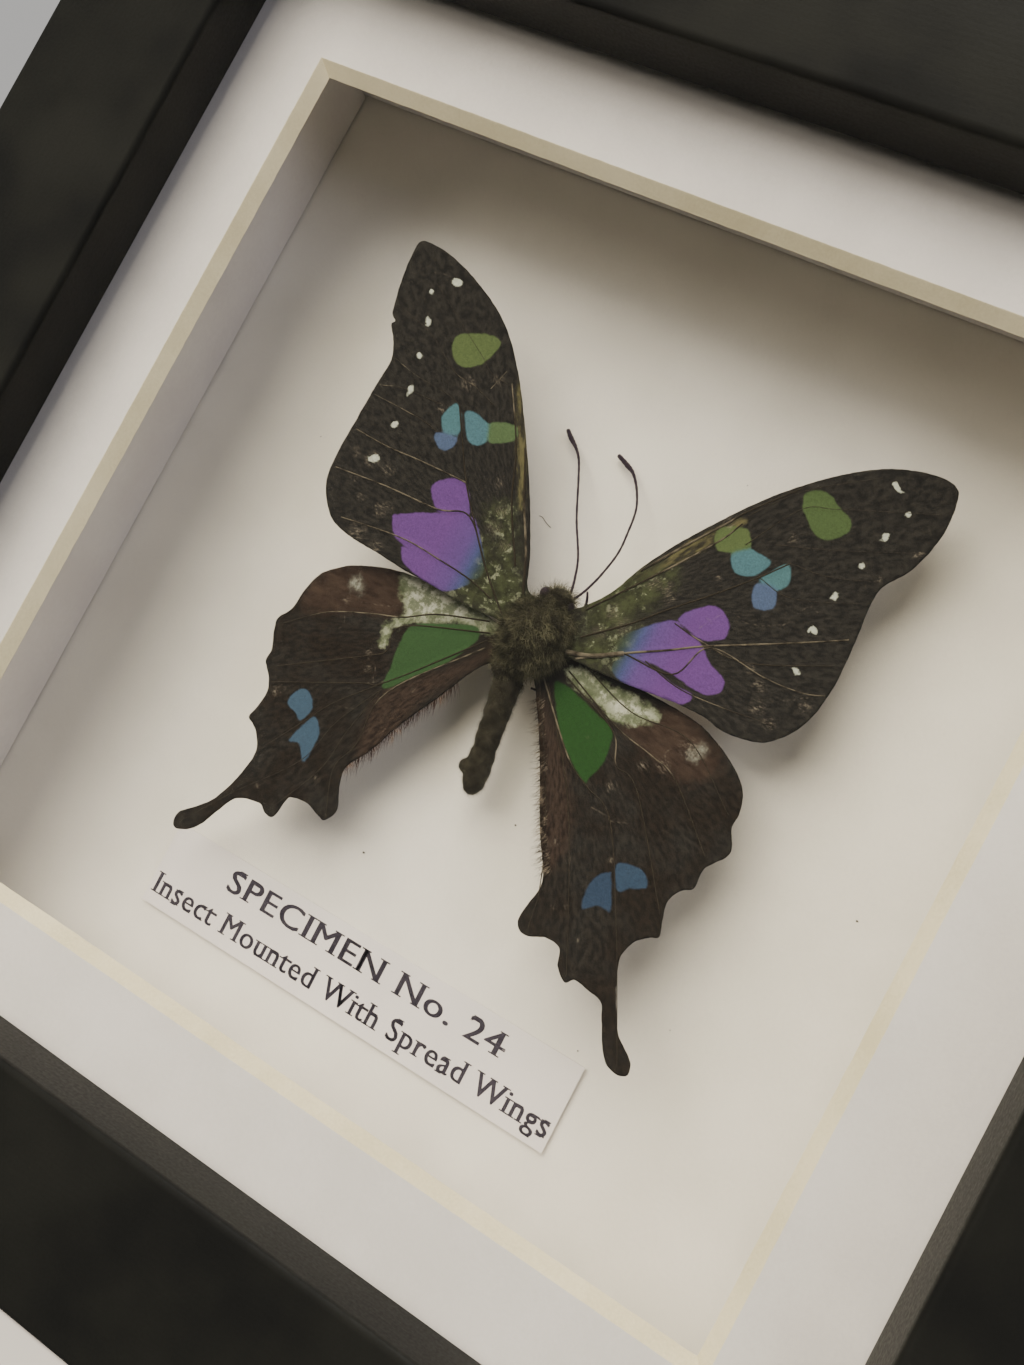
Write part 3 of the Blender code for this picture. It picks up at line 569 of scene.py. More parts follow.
wingSheet = {
    "cell": 0.3, "rowHeight": 0.87, "clearOfRim": 0.4,  # the last two in cells
    "thickness": 0.13, "rim": 0.05, "rimGrain": 1.7, "flutter": 0.07, "flutterGrain": 0.16,
    "pleat": 0.06, "pleatWidth": 1.2, "vein": 0.09, "veinWidth": 0.22,
    "outlineSteps": 10, "markSteps": 4, "veinSteps": 5,
    "flowTurn": 14,  # mm of grain for each radian round the hinge
}
veinTubes = {
    "radius": 0.1, "taper": 0.5, "taperReach": 32, "proud": 0.05, "fromEdge": 0.15, "steps": 8, "sides": 6,
}
wings = {
    # colours: a place on the ramp fieldHues and the field's outline
    # veins: thickness, from and to which share of the length it is rubbed pale, line
    # worn: out, up and radius of a rubbed place
    "forewing_left": {
        "side": -1, "hinge": (-2.3, 3.4, 80.7), "liftOut": 0.12, "liftUp": 0.04, "bow": 0.5, "reach": 29.0,
        "outline": [(-1.5, 0.2), (0.5, 0.9), (2.1, 4.5), (5.5, 10.9), (9.4, 17.2), (13.1, 22.4),
            (16.7, 26), (21.4, 28.6), (25.4, 30), (28.1, 30.3), (29.2, 30.1), (29.5, 29.1),
            (29.3, 25.8), (28.5, 21.7), (27.7, 20.8), (27.9, 20.2), (26.9, 18.8), (26, 16.7),
            (26.2, 13.6), (26.4, 9.5), (26.6, 5.3), (26.5, 2.6), (26, 0.8), (24.8, -1), (23.3, -2.3),
            (20.6, -3), (17.1, -3.2), (13.9, -3.5), (10.6, -3.6), (6.5, -3.8), (2.1, -3.6), (-1.5, -3.2)],
        "colours": [
            (0.15, [(20.5, 21.3), (20.1, 22.5), (17.6, 23.7), (16.2, 23.8), (15.5, 23.2), (16.2, 20.9),
                (17.5, 19.6), (18.8, 19.4), (19.9, 20.2)]),
            (0.36, [(17.7, 13.5), (17.2, 15.1), (16.5, 15.3), (15.2, 13.1), (15.3, 12.3), (16.7, 12)]),
            (0.54, [(17.4, 11), (17.1, 11.7), (15.2, 12.1), (15, 11), (15.9, 10.1)]),
            (0.38, [(15.5, 14.8), (14.8, 15.4), (13.1, 15.1), (12.2, 14.6), (12, 13), (12.8, 12.3),
                (13.9, 12.4)]),
            (0.2, [(12.6, 15), (10, 16.1), (9.2, 14.7), (11.6, 13.2)]),
            ("violet", [(15, 5.8), (14.6, 7), (13.1, 8), (11.6, 7.8), (9.9, 5.1), (11.1, 4.1),
                (13.4, 4.1)]),
            ("violet", [(17.4, 1), (16.9, 1.7), (13.7, 3.5), (9.8, 5), (8.5, 4.4), (6.6, 2.1),
                (5.7, 0.9), (6.7, -1.1), (15.1, -1.1)]),
            ("violet", [(14.8, -1.7), (14.7, -1.2), (10.7, -1), (6.6, -1.2), (7.2, -2.5), (8.7, -3.6),
                (11.1, -3.5), (13.8, -2.9)]),
        ],
        "white": [
            [(24.2, 27.4), (23.6, 28), (22.6, 28), (22.4, 27.4), (23.1, 26.9)],
            [(25.9, 25.6), (25.7, 25.9), (25.1, 25.6), (25.1, 25), (25.6, 25.1)],
            [(24.7, 22.6), (24.3, 23), (23.8, 22.4), (23.9, 21.5), (24.4, 21.7)],
            [(23.6, 18.5), (23.3, 18.8), (22.9, 18.5), (22.9, 18), (23.3, 18)],
            [(22.8, 14.8), (22.3, 15.3), (21.9, 14.7), (22.2, 13.7), (22.7, 13.9)],
            [(22.6, 10.4), (22, 11), (21.6, 10.4), (22, 9.7), (22.6, 9.9)],
            [(23.3, 5.8), (22.8, 6.5), (22, 6.6), (21.7, 6.1), (22, 5.4), (22.9, 5.4)],
        ],
        "frost": [
            [(8.7, 6.7), (6, 8.6), (3.9, 5.1), (0.9, 0.9), (0.4, -0.4), (4.4, -1.3), (5.2, 2.3),
                (6.9, 4.6)],
            [(8.5, 3.5), (4.6, 3), (0.2, 1), (-1.4, -3), (7.6, -3.8), (7.6, -1)],
        ],
        "tan": [
            [(11.6, 19.8), (10.8, 20.2), (5.2, 9.5), (6, 9.1)],
        ],
        "cream": [],
        "brown": [],
        "hairy": [],
        "scratches": [
            [(26.2, 27.5), (24, 27.9), (21.3, 27.9)],
        ],
        "veins": [
            (1.2, 0, 0.62, [(26, 3.2), (19.8, 3.8), (13.4, 4.1), (9.8, 5), (5.7, 0.9)]),
            (1.2, 0, 1, [(27.2, 8.1), (22, 7.8), (17.8, 8), (13.5, 8.1), (11.8, 8.1)]),
            (1.1, 0, 0.5, [(22.7, -1.5), (15.4, -0.5), (10.8, -0.7), (6.7, -1.1), (3.6, -1.9)]),
            (0.9, 0, 0.5, [(26.4, 12.4), (22.8, 12.3), (19.4, 12.1), (17.4, 11.7)]),
            (0.8, 0, 0.3, [(25.8, 13.6), (23, 14.4), (18.3, 14.6)]),
            (0.8, 0.1, 0.4, [(25.9, 17.1), (22.6, 16.3), (18.3, 15.9), (16.5, 15.4)]),
            (0.9, 0.55, 0.78, [(28.2, 22.6), (23.1, 21.1), (18.8, 18.5), (16, 18), (13.1, 17.1)]),
            (0.8, 0, 1, [(14.2, 18.5), (13.5, 21)]),
            (1.2, 0, 0, [(16.5, 15.4), (14.4, 12.1), (11.8, 8.1), (9.1, 4.8), (5.7, 0.9), (1.7, -2.9)]),
            (0.8, 0, 0, [(25.3, 26.5), (19.2, 22.8), (16.7, 21.3), (14.7, 20), (11.8, 19.7)]),
            (1.7, 0.35, 0.7, [(11.3, 20), (7.8, 14.4), (5.2, 9.1), (2.5, 4.3), (0.7, 0.2)]),
            (1.3, 0, 0.2, [(12.4, 20.1), (8.7, 14), (6.4, 8.5), (2.8, 2.4)]),
        ],
        "worn": [(22.6, 5.8, 1.3), (24.7, 5.7, 0.8), (20.4, 5.5, 1.1), (19.1, 1.2, 1.2),
            (18.4, 1.9, 0.8), (20.3, -2.3, 1.7), (17.6, -2.7, 1.2), (21.7, 1.5, 0.7), (16.7, 18, 1.2),
            (13.9, 19.6, 1), (8.6, 9.7, 0.8), (18.2, 14.2, 0.8), (6.9, 7, 1), (4.8, 3.9, 1),
            (6.7, 5.1, 1.2), (23.5, 3, 0.6)],
    },
    "forewing_right": {
        "side": 1, "hinge": (3.4, 3.4, 80.8), "liftOut": 0.0, "liftUp": 0.0, "bow": 0.5, "reach": 29.5,
        "outline": [(-2, -0.5), (0.5, 2.2), (2.3, 4.7), (3.7, 8), (5.9, 11.9), (9, 16.3), (11.8, 19.9),
            (14.8, 23.1), (17.9, 25.8), (21.2, 28), (24.2, 29.2), (27.1, 29.7), (28.7, 29.3),
            (29.3, 28.1), (29.6, 25.5), (29.4, 23.2), (29, 21.5), (28.3, 19.5), (26.7, 16.9),
            (26.5, 14.4), (26.8, 11.4), (27, 8), (27, 5.3), (26.6, 2.3), (25.6, -0.2), (23.7, -2.4),
            (21.4, -3.2), (19.1, -3.4), (17.1, -3), (14, -3), (8, -3.6), (2, -3.8), (-2, -3.4)],
        "colours": [
            (0.115, [(15.5, 22.5), (16.6, 23.4), (17.9, 23.4), (19.4, 22.5), (20.7, 22), (21.2, 21),
                (20.6, 19.8), (19.4, 18.9), (18.1, 19.1), (16.8, 20.2), (16, 20.9)]),
            (0.15, [(9.2, 15.4), (11.9, 16.6), (13, 14.6), (10.2, 13.3)]),
            (0.37, [(11.7, 13.7), (12.6, 14.8), (14.1, 14.8), (15.6, 14.6), (15.5, 13.7), (14.7, 12.4),
                (13.3, 11.9), (12.3, 12.4)]),
            (0.35, [(15.5, 12.3), (16.2, 13.7), (17.3, 15), (17.9, 14.4), (18.3, 13.2), (17.6, 12.1),
                (16.1, 12)]),
            (0.54, [(15.3, 11.6), (17.1, 12.4), (18.1, 10.3), (16.3, 9.5)]),
            ("violet", [(9.9, 4.9), (10.7, 6.4), (12.1, 7.6), (13.4, 7.8), (14.8, 6.9), (15.2, 5.5),
                (14.6, 4.8), (13.1, 4.1), (11.4, 4.4)]),
            ("violet", [(5.3, -1), (5.4, 0.6), (6.8, 2.3), (9.4, 4.6), (11.2, 4.1), (13.4, 3.6),
                (15, 2.2), (17, 1.4), (17.3, 0.1), (16.2, -0.8), (14.5, -0.9), (12.1, -0.5),
                (9.2, -0.5), (5.8, -1.4)]),
            ("violet", [(6, -2), (7.3, -1), (9.7, -0.8), (12.9, -1.4), (14.7, -1.4), (14.9, -2.3),
                (13.5, -3.3), (10.9, -3.7), (8.4, -3.7), (6.4, -3.1)]),
        ],
        "white": [
            [(22.6, 27), (23.1, 27.4), (24.3, 26.7), (23.9, 26.2)],
            [(25.3, 24.9), (25.6, 25.2), (26.1, 25), (25.9, 24.6), (25.4, 24.5)],
            [(24.4, 22.2), (25, 22.4), (25.1, 21.2), (24.2, 21.1)],
            [(23.5, 18.1), (23.8, 18.5), (24.3, 18.2), (24.1, 17.7), (23.6, 17.7)],
            [(22.6, 14.6), (23.2, 14.8), (23.4, 13.6), (22.4, 13.5)],
            [(22, 9.8), (22.4, 10.5), (23.1, 10.2), (23.2, 9.6), (22.5, 9.7), (22.3, 9.3)],
            [(22.4, 5.7), (23.1, 5.9), (23.5, 5.3), (23, 4.9)],
        ],
        "frost": [
            [(-1.5, 3.2), (0.8, 6.2), (4.8, 9.2), (7.8, 9.4), (7.4, 6.0), (5.6, 2.6), (3.2, -1.3)],
            [(-1.5, -1), (1.5, -1), (7.5, 2.6), (7.4, -2.6), (3.5, -3.7), (-1.8, -3.4)],
        ],
        "tan": [
            [(0.6, 2.2), (2.8, 6.1), (6, 11), (9.7, 16.2), (11.2, 17.6), (11.2, 16.6), (10, 14.4),
                (7.1, 10.2), (4.5, 6.7), (0.6, 1.6)],
        ],
        "cream": [],
        "brown": [],
        "hairy": [],
        "scratches": [
            [(15.2, 7.9), (16.5, 7.7), (18.5, 8.4), (20.1, 9.5), (20, 10.4), (21.3, 12), (22.2, 11.8)],
            [(23.2, 2.1), (25.6, 3.8)],
            [(12.3, 5), (12.9, 6.3), (13.6, 7.2)],
            [(13.3, 6), (12.3, 6.5)],
        ],
        "veins": [
            (1.2, 0, 0, [(1.5, -1.3), (5.7, 2.4), (8.4, 5.3), (11.7, 8.6), (15.3, 12.5), (17.5, 15.2)]),
            (3.0, 0, 1, [(0.8, -3.4), (3.5, -2.6), (6.5, -0.8)]),
            (1.5, 0, 1, [(0.6, -4.6), (6.5, -0.8), (10.4, 1.5), (13.7, 3.6), (20.6, 7.4), (27, 11.1)]),
            (1.1, 0.3, 1, [(6.5, -0.8), (12.1, -0.5), (14.2, 3.7), (20.5, 3.4), (24.5, 3.7), (27, 4.6)]),
            (0.9, 0.5, 0.7, [(8.9, -0.5), (13.2, -1.5), (18, -1.3), (23.7, -0.5)]),
            (1.0, 0.25, 0.6, [(9.8, 4.4), (13.2, 3.9), (18.4, 4), (27.3, 8.2)]),
            (0.8, 0, 0, [(15.3, 12.5), (19.4, 12), (26.5, 14.9)]),
            (0.8, 0, 0, [(17.5, 15.2), (21.5, 15.6), (27, 17.6)]),
            (0.8, 0, 0, [(15.2, 16.3), (21.2, 18.5), (28.4, 21.7)]),
            (0.9, 0, 0, [(12.5, 15), (15.9, 20.8), (19.3, 22.4), (28.6, 26.2)]),
            (0.9, 0, 0, [(11.3, 17.9), (15.3, 22.7), (21.7, 27.2)]),
            (1.7, 0.1, 0.55, [(0.6, 2.2), (2.8, 6.1), (6, 11), (9.7, 16.2), (11.1, 18.3), (14.9, 22.8)]),
            (1.3, 0.4, 0.9, [(0.6, 1.6), (4.5, 6.7), (7.1, 10.2), (10, 14.4), (11.2, 16.9)]),
        ],
        "worn": [(20.4, 2.3, 1.1), (21.3, 0.4, 1.2), (18.8, 3.6, 0.8), (11.6, 10.7, 0.5),
            (16.5, 17.6, 0.8), (28.4, 21.4, 1), (26.1, 17.5, 0.6), (5.8, 7.3, 1.2), (7.3, 7.4, 1.1),
            (8.1, 6.5, 0.9), (9.9, 16.4, 1), (3.4, 2.6, 1.3), (5, 1.8, 1.3), (3, 0.1, 1.1),
            (25.5, 2.5, 1), (23, -0.6, 1)],
    },
    "hindwing_left": {
        "side": -1, "hinge": (-2.8, 4.3, 75.7), "liftOut": 0.02, "liftUp": 0.0, "bow": 0.3, "reach": 25.0,
        "outline": [(-1.5, 0.8), (1.6, 1.2), (7.8, 1.8), (14.4, 1.3), (18.8, -0.1), (20.9, -1.3),
            (22.8, -3.1), (23.6, -5.5), (23.9, -8.1), (24.9, -9.8), (24.6, -11.3), (23.7, -13.3),
            (23.7, -14.8), (22.4, -16.2), (21.7, -17.8), (21.8, -19.6), (22.2, -21.2), (21.3, -21.8),
            (20.4, -22.5), (19.4, -24.3), (19.6, -26.7), (20.2, -29), (21.3, -31.5), (22.8, -33.2),
            (24.2, -34.6), (24.3, -35.9), (23.6, -36.4), (22.1, -35.7), (21, -34.3), (20.2, -32.5),
            (18.8, -30), (16.1, -29.1), (14.9, -29.7), (13.8, -29.6), (13.4, -27.4), (12.9, -26.7),
            (11, -26.4), (9.1, -27), (8.3, -27), (7.6, -25.4), (8.7, -22.8), (9, -20.7), (7.5, -18),
            (5.8, -13.8), (3.4, -9), (1.1, -4.3), (-1.5, -1.2)],
        "colours": [
            (0.06, [(10.3, -6.5), (10.1, -3.6), (7.4, -1.9), (3.6, -0.3), (2.6, -1.3), (3.3, -3.2),
                (4.7, -5.6), (7.1, -8.4), (9.6, -11.3), (9.9, -8.6)]),
            (0.64, [(18.9, -17.6), (18.2, -15.7), (16.9, -15.6), (15.8, -17), (16.4, -18.8),
                (17.4, -18.3)]),
            (0.64, [(16.5, -21.4), (16, -19.5), (15.2, -17.7), (14, -18.4), (13.5, -19.8),
                (13.7, -22.7), (15.2, -21.1)]),
        ],
        "white": [
            [(19.1, -1.7), (18.3, -1.3), (17.3, -2.4), (17.5, -3.1), (18.3, -3.1), (19.1, -2.3)],
        ],
        "frost": [],
        "tan": [],
        "cream": [
            [(14, 0.8), (11.5, 1.9), (8.5, 1.9), (4.7, 1.6), (1.3, 1.3), (1.7, -0.2), (4.7, -0.7),
                (7.1, -1.8), (10.4, -3.3), (11.9, -4.7), (11.5, -6.7), (12.3, -7.1), (12.8, -4.5),
                (11.5, -2.8)],
        ],
        "brown": [
            [(14.2, 1.1), (17.2, 0.3), (21.6, -1.5), (23.3, -4.7), (23, -7.2), (21.1, -7.2),
                (17.2, -5.3), (11.6, -2.9)],
        ],
        "hairy": [
            [(0.9, -1.7), (3.8, -5.4), (9, -11), (9.7, -14.6), (8.5, -19.1), (6.2, -16), (5.1, -10.9),
                (3, -6.9), (0.6, -2.8)],
        ],
        "scratches": [
            [(16.7, -3.8), (13.7, -2.8), (12.1, -1.9)],
            [(17.7, -5.9), (17.4, -6.8), (17.6, -7.7)],
            [(12.2, -6.6), (13, -8.8), (11.6, -9.4), (11.1, -10.8)],
            [(12.3, -11.9), (9.5, -10.3)],
            [(13.7, -15.5), (10.8, -14.5)],
        ],
        "veins": [
            (1.1, 0.42, 0.85, [(1.5, 1.2), (7.9, -1), (11.4, -3.1), (15.2, -4.5), (19.8, -6.6),
                (23.9, -10)]),
            (1.0, 0, 0, [(1.7, -0.2), (10.9, -4), (11.2, -7.2), (13, -8.8), (22.1, -14.7)]),
            (1.0, 0, 0, [(1.6, -1.1), (9.5, -10.3), (12.3, -11.9), (21.8, -16.6)]),
            (0.9, 0, 0, [(9.5, -10.3), (13.7, -15), (15.5, -17.9), (17.3, -20.9), (19.3, -24.2)]),
            (0.9, 0, 0, [(9.6, -11.3), (12.5, -17), (14.1, -22.7), (19.4, -29.5), (23.4, -35.3)]),
            (0.9, 0, 0, [(9.7, -11.7), (10.9, -17.5), (11.5, -22.3), (14.6, -29.2)]),
            (1.0, 0, 0.3, [(1.4, -1.9), (8.9, -11.3), (9.2, -17.9), (10.2, -21.6), (8.4, -26.5)]),
        ],
        "worn": [(20.9, -17.4, 0.8), (17.2, -27.5, 0.5), (11.4, -23.4, 0.5), (20.3, -16.7, 0.7),
            (6.4, -9.7, 0.5), (13, -8.3, 0.7), (12.2, -10, 0.7), (18.4, -4.3, 0.7)],
    },
    "hindwing_right": {
        "side": 1, "hinge": (3.8, 4.8, 76.0), "liftOut": 0.035, "liftUp": -0.09, "bow": 0.3, "reach": 26.0,
        "outline": [(-2.5, -1.5), (-0.7, -3.9), (2.4, -8.5), (4.8, -12.6), (7.1, -16.6), (9.5, -20.1),
            (10, -21.8), (9.7, -23.7), (9.6, -25.5), (10.2, -26.4), (11.3, -26.5), (13, -25.7),
            (14.7, -25.9), (15.4, -27.5), (16.8, -28.5), (17.6, -27.8), (19.1, -28), (20.8, -28.3),
            (21.8, -29.9), (23.1, -32.1), (24.3, -33.3), (25.7, -33.5), (26.4, -32.9), (25.9, -31.7),
            (24, -30.3), (22.8, -28.7), (21.5, -26.3), (20.5, -23.6), (21, -21.6), (22.1, -20.5),
            (22.9, -19.9), (22.4, -18.2), (22, -16.4), (22.7, -14.9), (23.7, -14), (23.7, -11.8),
            (25.1, -9.7), (25, -8.4), (24.2, -6.9), (24.2, -5.1), (23.5, -3.1), (21.7, -1.4),
            (18.8, 0.2), (15.3, 1.2), (8, 1.5), (-2, 1)],
        "colours": [
            (0.0, [(0.8, -2.4), (1.4, -1.7), (4, -2.2), (6.6, -3), (8.7, -3.7), (9.4, -5.8),
                (9.5, -7.5), (9, -9.2), (8.8, -10), (6.6, -8.7), (3.9, -6.6)]),
            (0.68, [(14.8, -21.3), (14.3, -19.4), (14.6, -17.7), (15.5, -16.8), (15.9, -17.1),
                (17.5, -20.1), (16.7, -20.2), (15.9, -20.4)]),
            (0.67, [(15.8, -15.8), (16.8, -15.1), (18.3, -15), (19.2, -15.6), (19.5, -16.4),
                (18.2, -17.1), (17.1, -18)]),
        ],
        "white": [
            [(16.9, -2), (17.4, -0.9), (18.1, -0.7), (18.5, -1.4), (17.9, -2.5), (17.1, -2.6)],
        ],
        "frost": [],
        "tan": [],
        "cream": [
            [(1.1, -0.2), (3.2, 0.7), (5.4, 0.4), (8.6, 0.6), (12.2, 0.2), (12, -1.1), (8.8, -2.9),
                (6.5, -2), (2.8, -1.3)],
        ],
        "brown": [
            [(9.3, -2.7), (13, 1), (17.5, 0.2), (20.5, -1.7), (19.6, -3.9), (17.2, -5.1), (13, -4.3)],
        ],
        "hairy": [
            [(-0.8, -3.9), (3, -6.3), (6, -9), (8.6, -12.6), (10.5, -16.4), (9.6, -19.7), (6.6, -15.8),
                (3, -9.9)],
        ],
        "scratches": [
            [(13.1, -12.2), (15.1, -11.4)],
            [(10.7, -11.9), (12.3, -11.9), (13.1, -12.2)],
            [(15.3, -2), (14.8, -3.3), (15.5, -4.3), (16.6, -5.1)],
        ],
        "veins": [
            (1.1, 0, 0.3, [(-1, -1.8), (3.6, -6.3), (6.7, -9), (9.2, -10.2), (13.1, -12.2), (19, -21.7),
                (21.8, -26.7), (25.1, -32.8)]),
            (1.0, 0.3, 0.5, [(1.5, -0.9), (8.7, -3.7), (10.9, -6.8), (14.1, -8.2), (23.1, -19.4)]),
            (1.0, 0.3, 0.7, [(1.4, -0.2), (8.9, -3.2), (13.7, -4.2), (17, -5.3), (23.2, -10.7)]),
            (0.9, 0, 0, [(3, 1), (9.6, -1.1), (16.4, -1), (23.3, -5.9)]),
            (0.9, 0, 0, [(0, -2.4), (7.3, -11.2), (12, -19), (16.6, -27.8)]),
            (0.9, 0, 0, [(-1, -2.5), (5.3, -12.2), (9.6, -20.3), (10.9, -25.7)]),
        ],
        "worn": [(9.3, -16.7, 0.6), (11.3, -17.8, 0.6), (15.1, -15.7, 0.5), (13.3, -5.5, 0.8),
            (6.7, -5.6, 0.25), (8.6, -17.4, 0.5), (12.2, -22.6, 0.45), (13.4, -22, 0.35),
            (16, -24.3, 0.3), (15.2, -4.6, 1.1), (11.5, -9, 0.9), (16.8, -1.6, 1.6)],
    },
}

fieldHues = (
    # hue number, colour: deep green, lime, leaf, cyan, sky, blue; then olive to slate blue to violet
    (0.0, "213d1c"), (0.06, "2d4528"), (0.15, "4a5735"), (0.22, "465a3d"), (0.36, "42636a"),
    (0.52, "46536e"), (0.64, "36495a"), (0.68, "29374a"), (0.7, "37432b"), (0.76, "32434a"),
    (0.81, "3f466c"), (0.89, "533f72"), (1.0, "5a3b72"),
)
violetByOut = ((5.0, 0.7), (6.2, 0.76), (7.2, 0.81), (8.8, 0.9), (11.5, 1.0))  # out in mm, hue number
violetFade = ((4.8, 0.0), (6.0, 0.45), (7.4, 1.0))  # the violet thins out towards the hinge


def wingPoint(wing, out, up, proud=0.0):
    x, y, z = wing["hinge"]
    bow = wing["bow"] * math.sin(math.pi * min(max(out / wing["reach"], 0), 1))
    rise = wing["liftOut"] * out + wing["liftUp"] * up + bow
    grain = wingSheet["flutterGrain"]
    flutter = wingSheet["flutter"] * noise.noise(Vector((out * grain, up * grain, 7.0 * wing["side"])))
    return Vector((x + wing["side"] * out, y - rise - flutter - proud, z + up)) * mm


def wingMarks(wing, points):
    # a number at each point for every kind of mark, mostly how far inside the mark it lies, in mm
    marks = {}
    nowhere = np.full(len(points), -9.0)

    def depths(shapes):
        return [insideBy(points, smoothLoop(shape, wingSheet["markSteps"])) for shape in shapes]

    def nearest(lines):
        runs = [smoothLine(line, wingSheet["veinSteps"]) for line in lines]
        return np.min([distanceToLine(points, run) for run in runs], axis=0)

    fields = depths([shape for _, shape in wing["colours"]])
    byOut = np.interp(points[:, 0], *zip(*violetByOut))
    hues = [byOut if hue == "violet" else np.full(len(points), hue) for hue, _ in wing["colours"]]
    fades = [np.interp(points[:, 0], *zip(*violetFade)) if hue == "violet" else np.ones(len(points))
             for hue, _ in wing["colours"]]
    weights = np.exp(6 * np.clip(fields, -8, 0.5))  # where two fields are near, the deeper one leads
    marks["patch"] = np.max(fields, axis=0)
    marks["hue"] = (weights * hues).sum(0) / weights.sum(0)
    marks["fade"] = (weights * fades).sum(0) / weights.sum(0)
    marks["white"] = np.max([insideBy(points, np.array(shape)) for shape in wing["white"]], axis=0)
    for name in ("frost", "tan", "cream", "brown", "hairy"):
        marks[name] = np.max(depths(wing[name]) or [nowhere], axis=0)
    marks["scratch"] = nearest(wing["scratches"])
    rubbed = [1 - np.linalg.norm(points - (x, y), axis=1) / size for x, y, size in wing["worn"]]
    marks["wear"] = np.max(rubbed, axis=0).clip(0)
    return marks, nearest([line for *_, line in wing["veins"]])


def makeWing(name, wing, material):
    loop = smoothLoop(wing["outline"], wingSheet["outlineSteps"])
    grain = [noise.noise_vector(Vector((*(p * wingSheet["rimGrain"]), 3.0)))[:2] for p in loop]
    loop = loop + wingSheet["rim"] * np.array(grain)
    low, high = loop.min(0), loop.max(0)
    cell = wingSheet["cell"]
    rows = []
    for row, up in enumerate(np.arange(low[1], high[1], cell * wingSheet["rowHeight"])):
        outs = np.arange(low[0] + cell * 0.5 * (row % 2), high[0], cell)
        rows.append(np.column_stack([outs, np.full(len(outs), up)]))
    grid = np.vstack(rows)
    grid = grid[insideBy(grid, loop) > cell * wingSheet["clearOfRim"]]
    rim = [(k, (k + 1) % len(loop)) for k in range(len(loop))]
    flat, _, faces, *_ = delaunay_2d_cdt([Vector(p) for p in (*loop, *grid)], rim, [], 1, 1e-5)
    spots = np.array([(p.x, p.y) for p in flat])
    marks, fromVein = wingMarks(wing, spots)
    marks["browner"] = np.full(len(spots), float(name.startswith("hind")))
    proud = wingSheet["vein"] * np.exp(-(fromVein / wingSheet["veinWidth"]) ** 2)
    proud -= wingSheet["pleat"] * np.exp(-(fromVein / wingSheet["pleatWidth"]) ** 2)
    mesh = bpy.data.meshes.new(name)
    mesh.from_pydata([wingPoint(wing, *spot, lift) for spot, lift in zip(spots, proud)], [], faces)
    for key, values in marks.items():
        setMark(mesh, key, values)
    # the grain of scales and hairs fans out from the hinge
    bearing = np.arctan2(spots[:, 1], spots[:, 0])
    flow = np.column_stack([np.hypot(*spots.T), wingSheet["flowTurn"] * bearing])
    corners = np.array([loop.vertex_index for loop in mesh.loops])
    mesh.uv_layers.new(name="flow").data.foreach_set("uv", flow[corners].astype(np.float32).ravel())
    faceFront(mesh)
    sheet = thickened(mesh, wingSheet["thickness"], 0)
    addPiece(f"scaled_{name}", sheet, [material], "brown_wing", name, smooth=True)


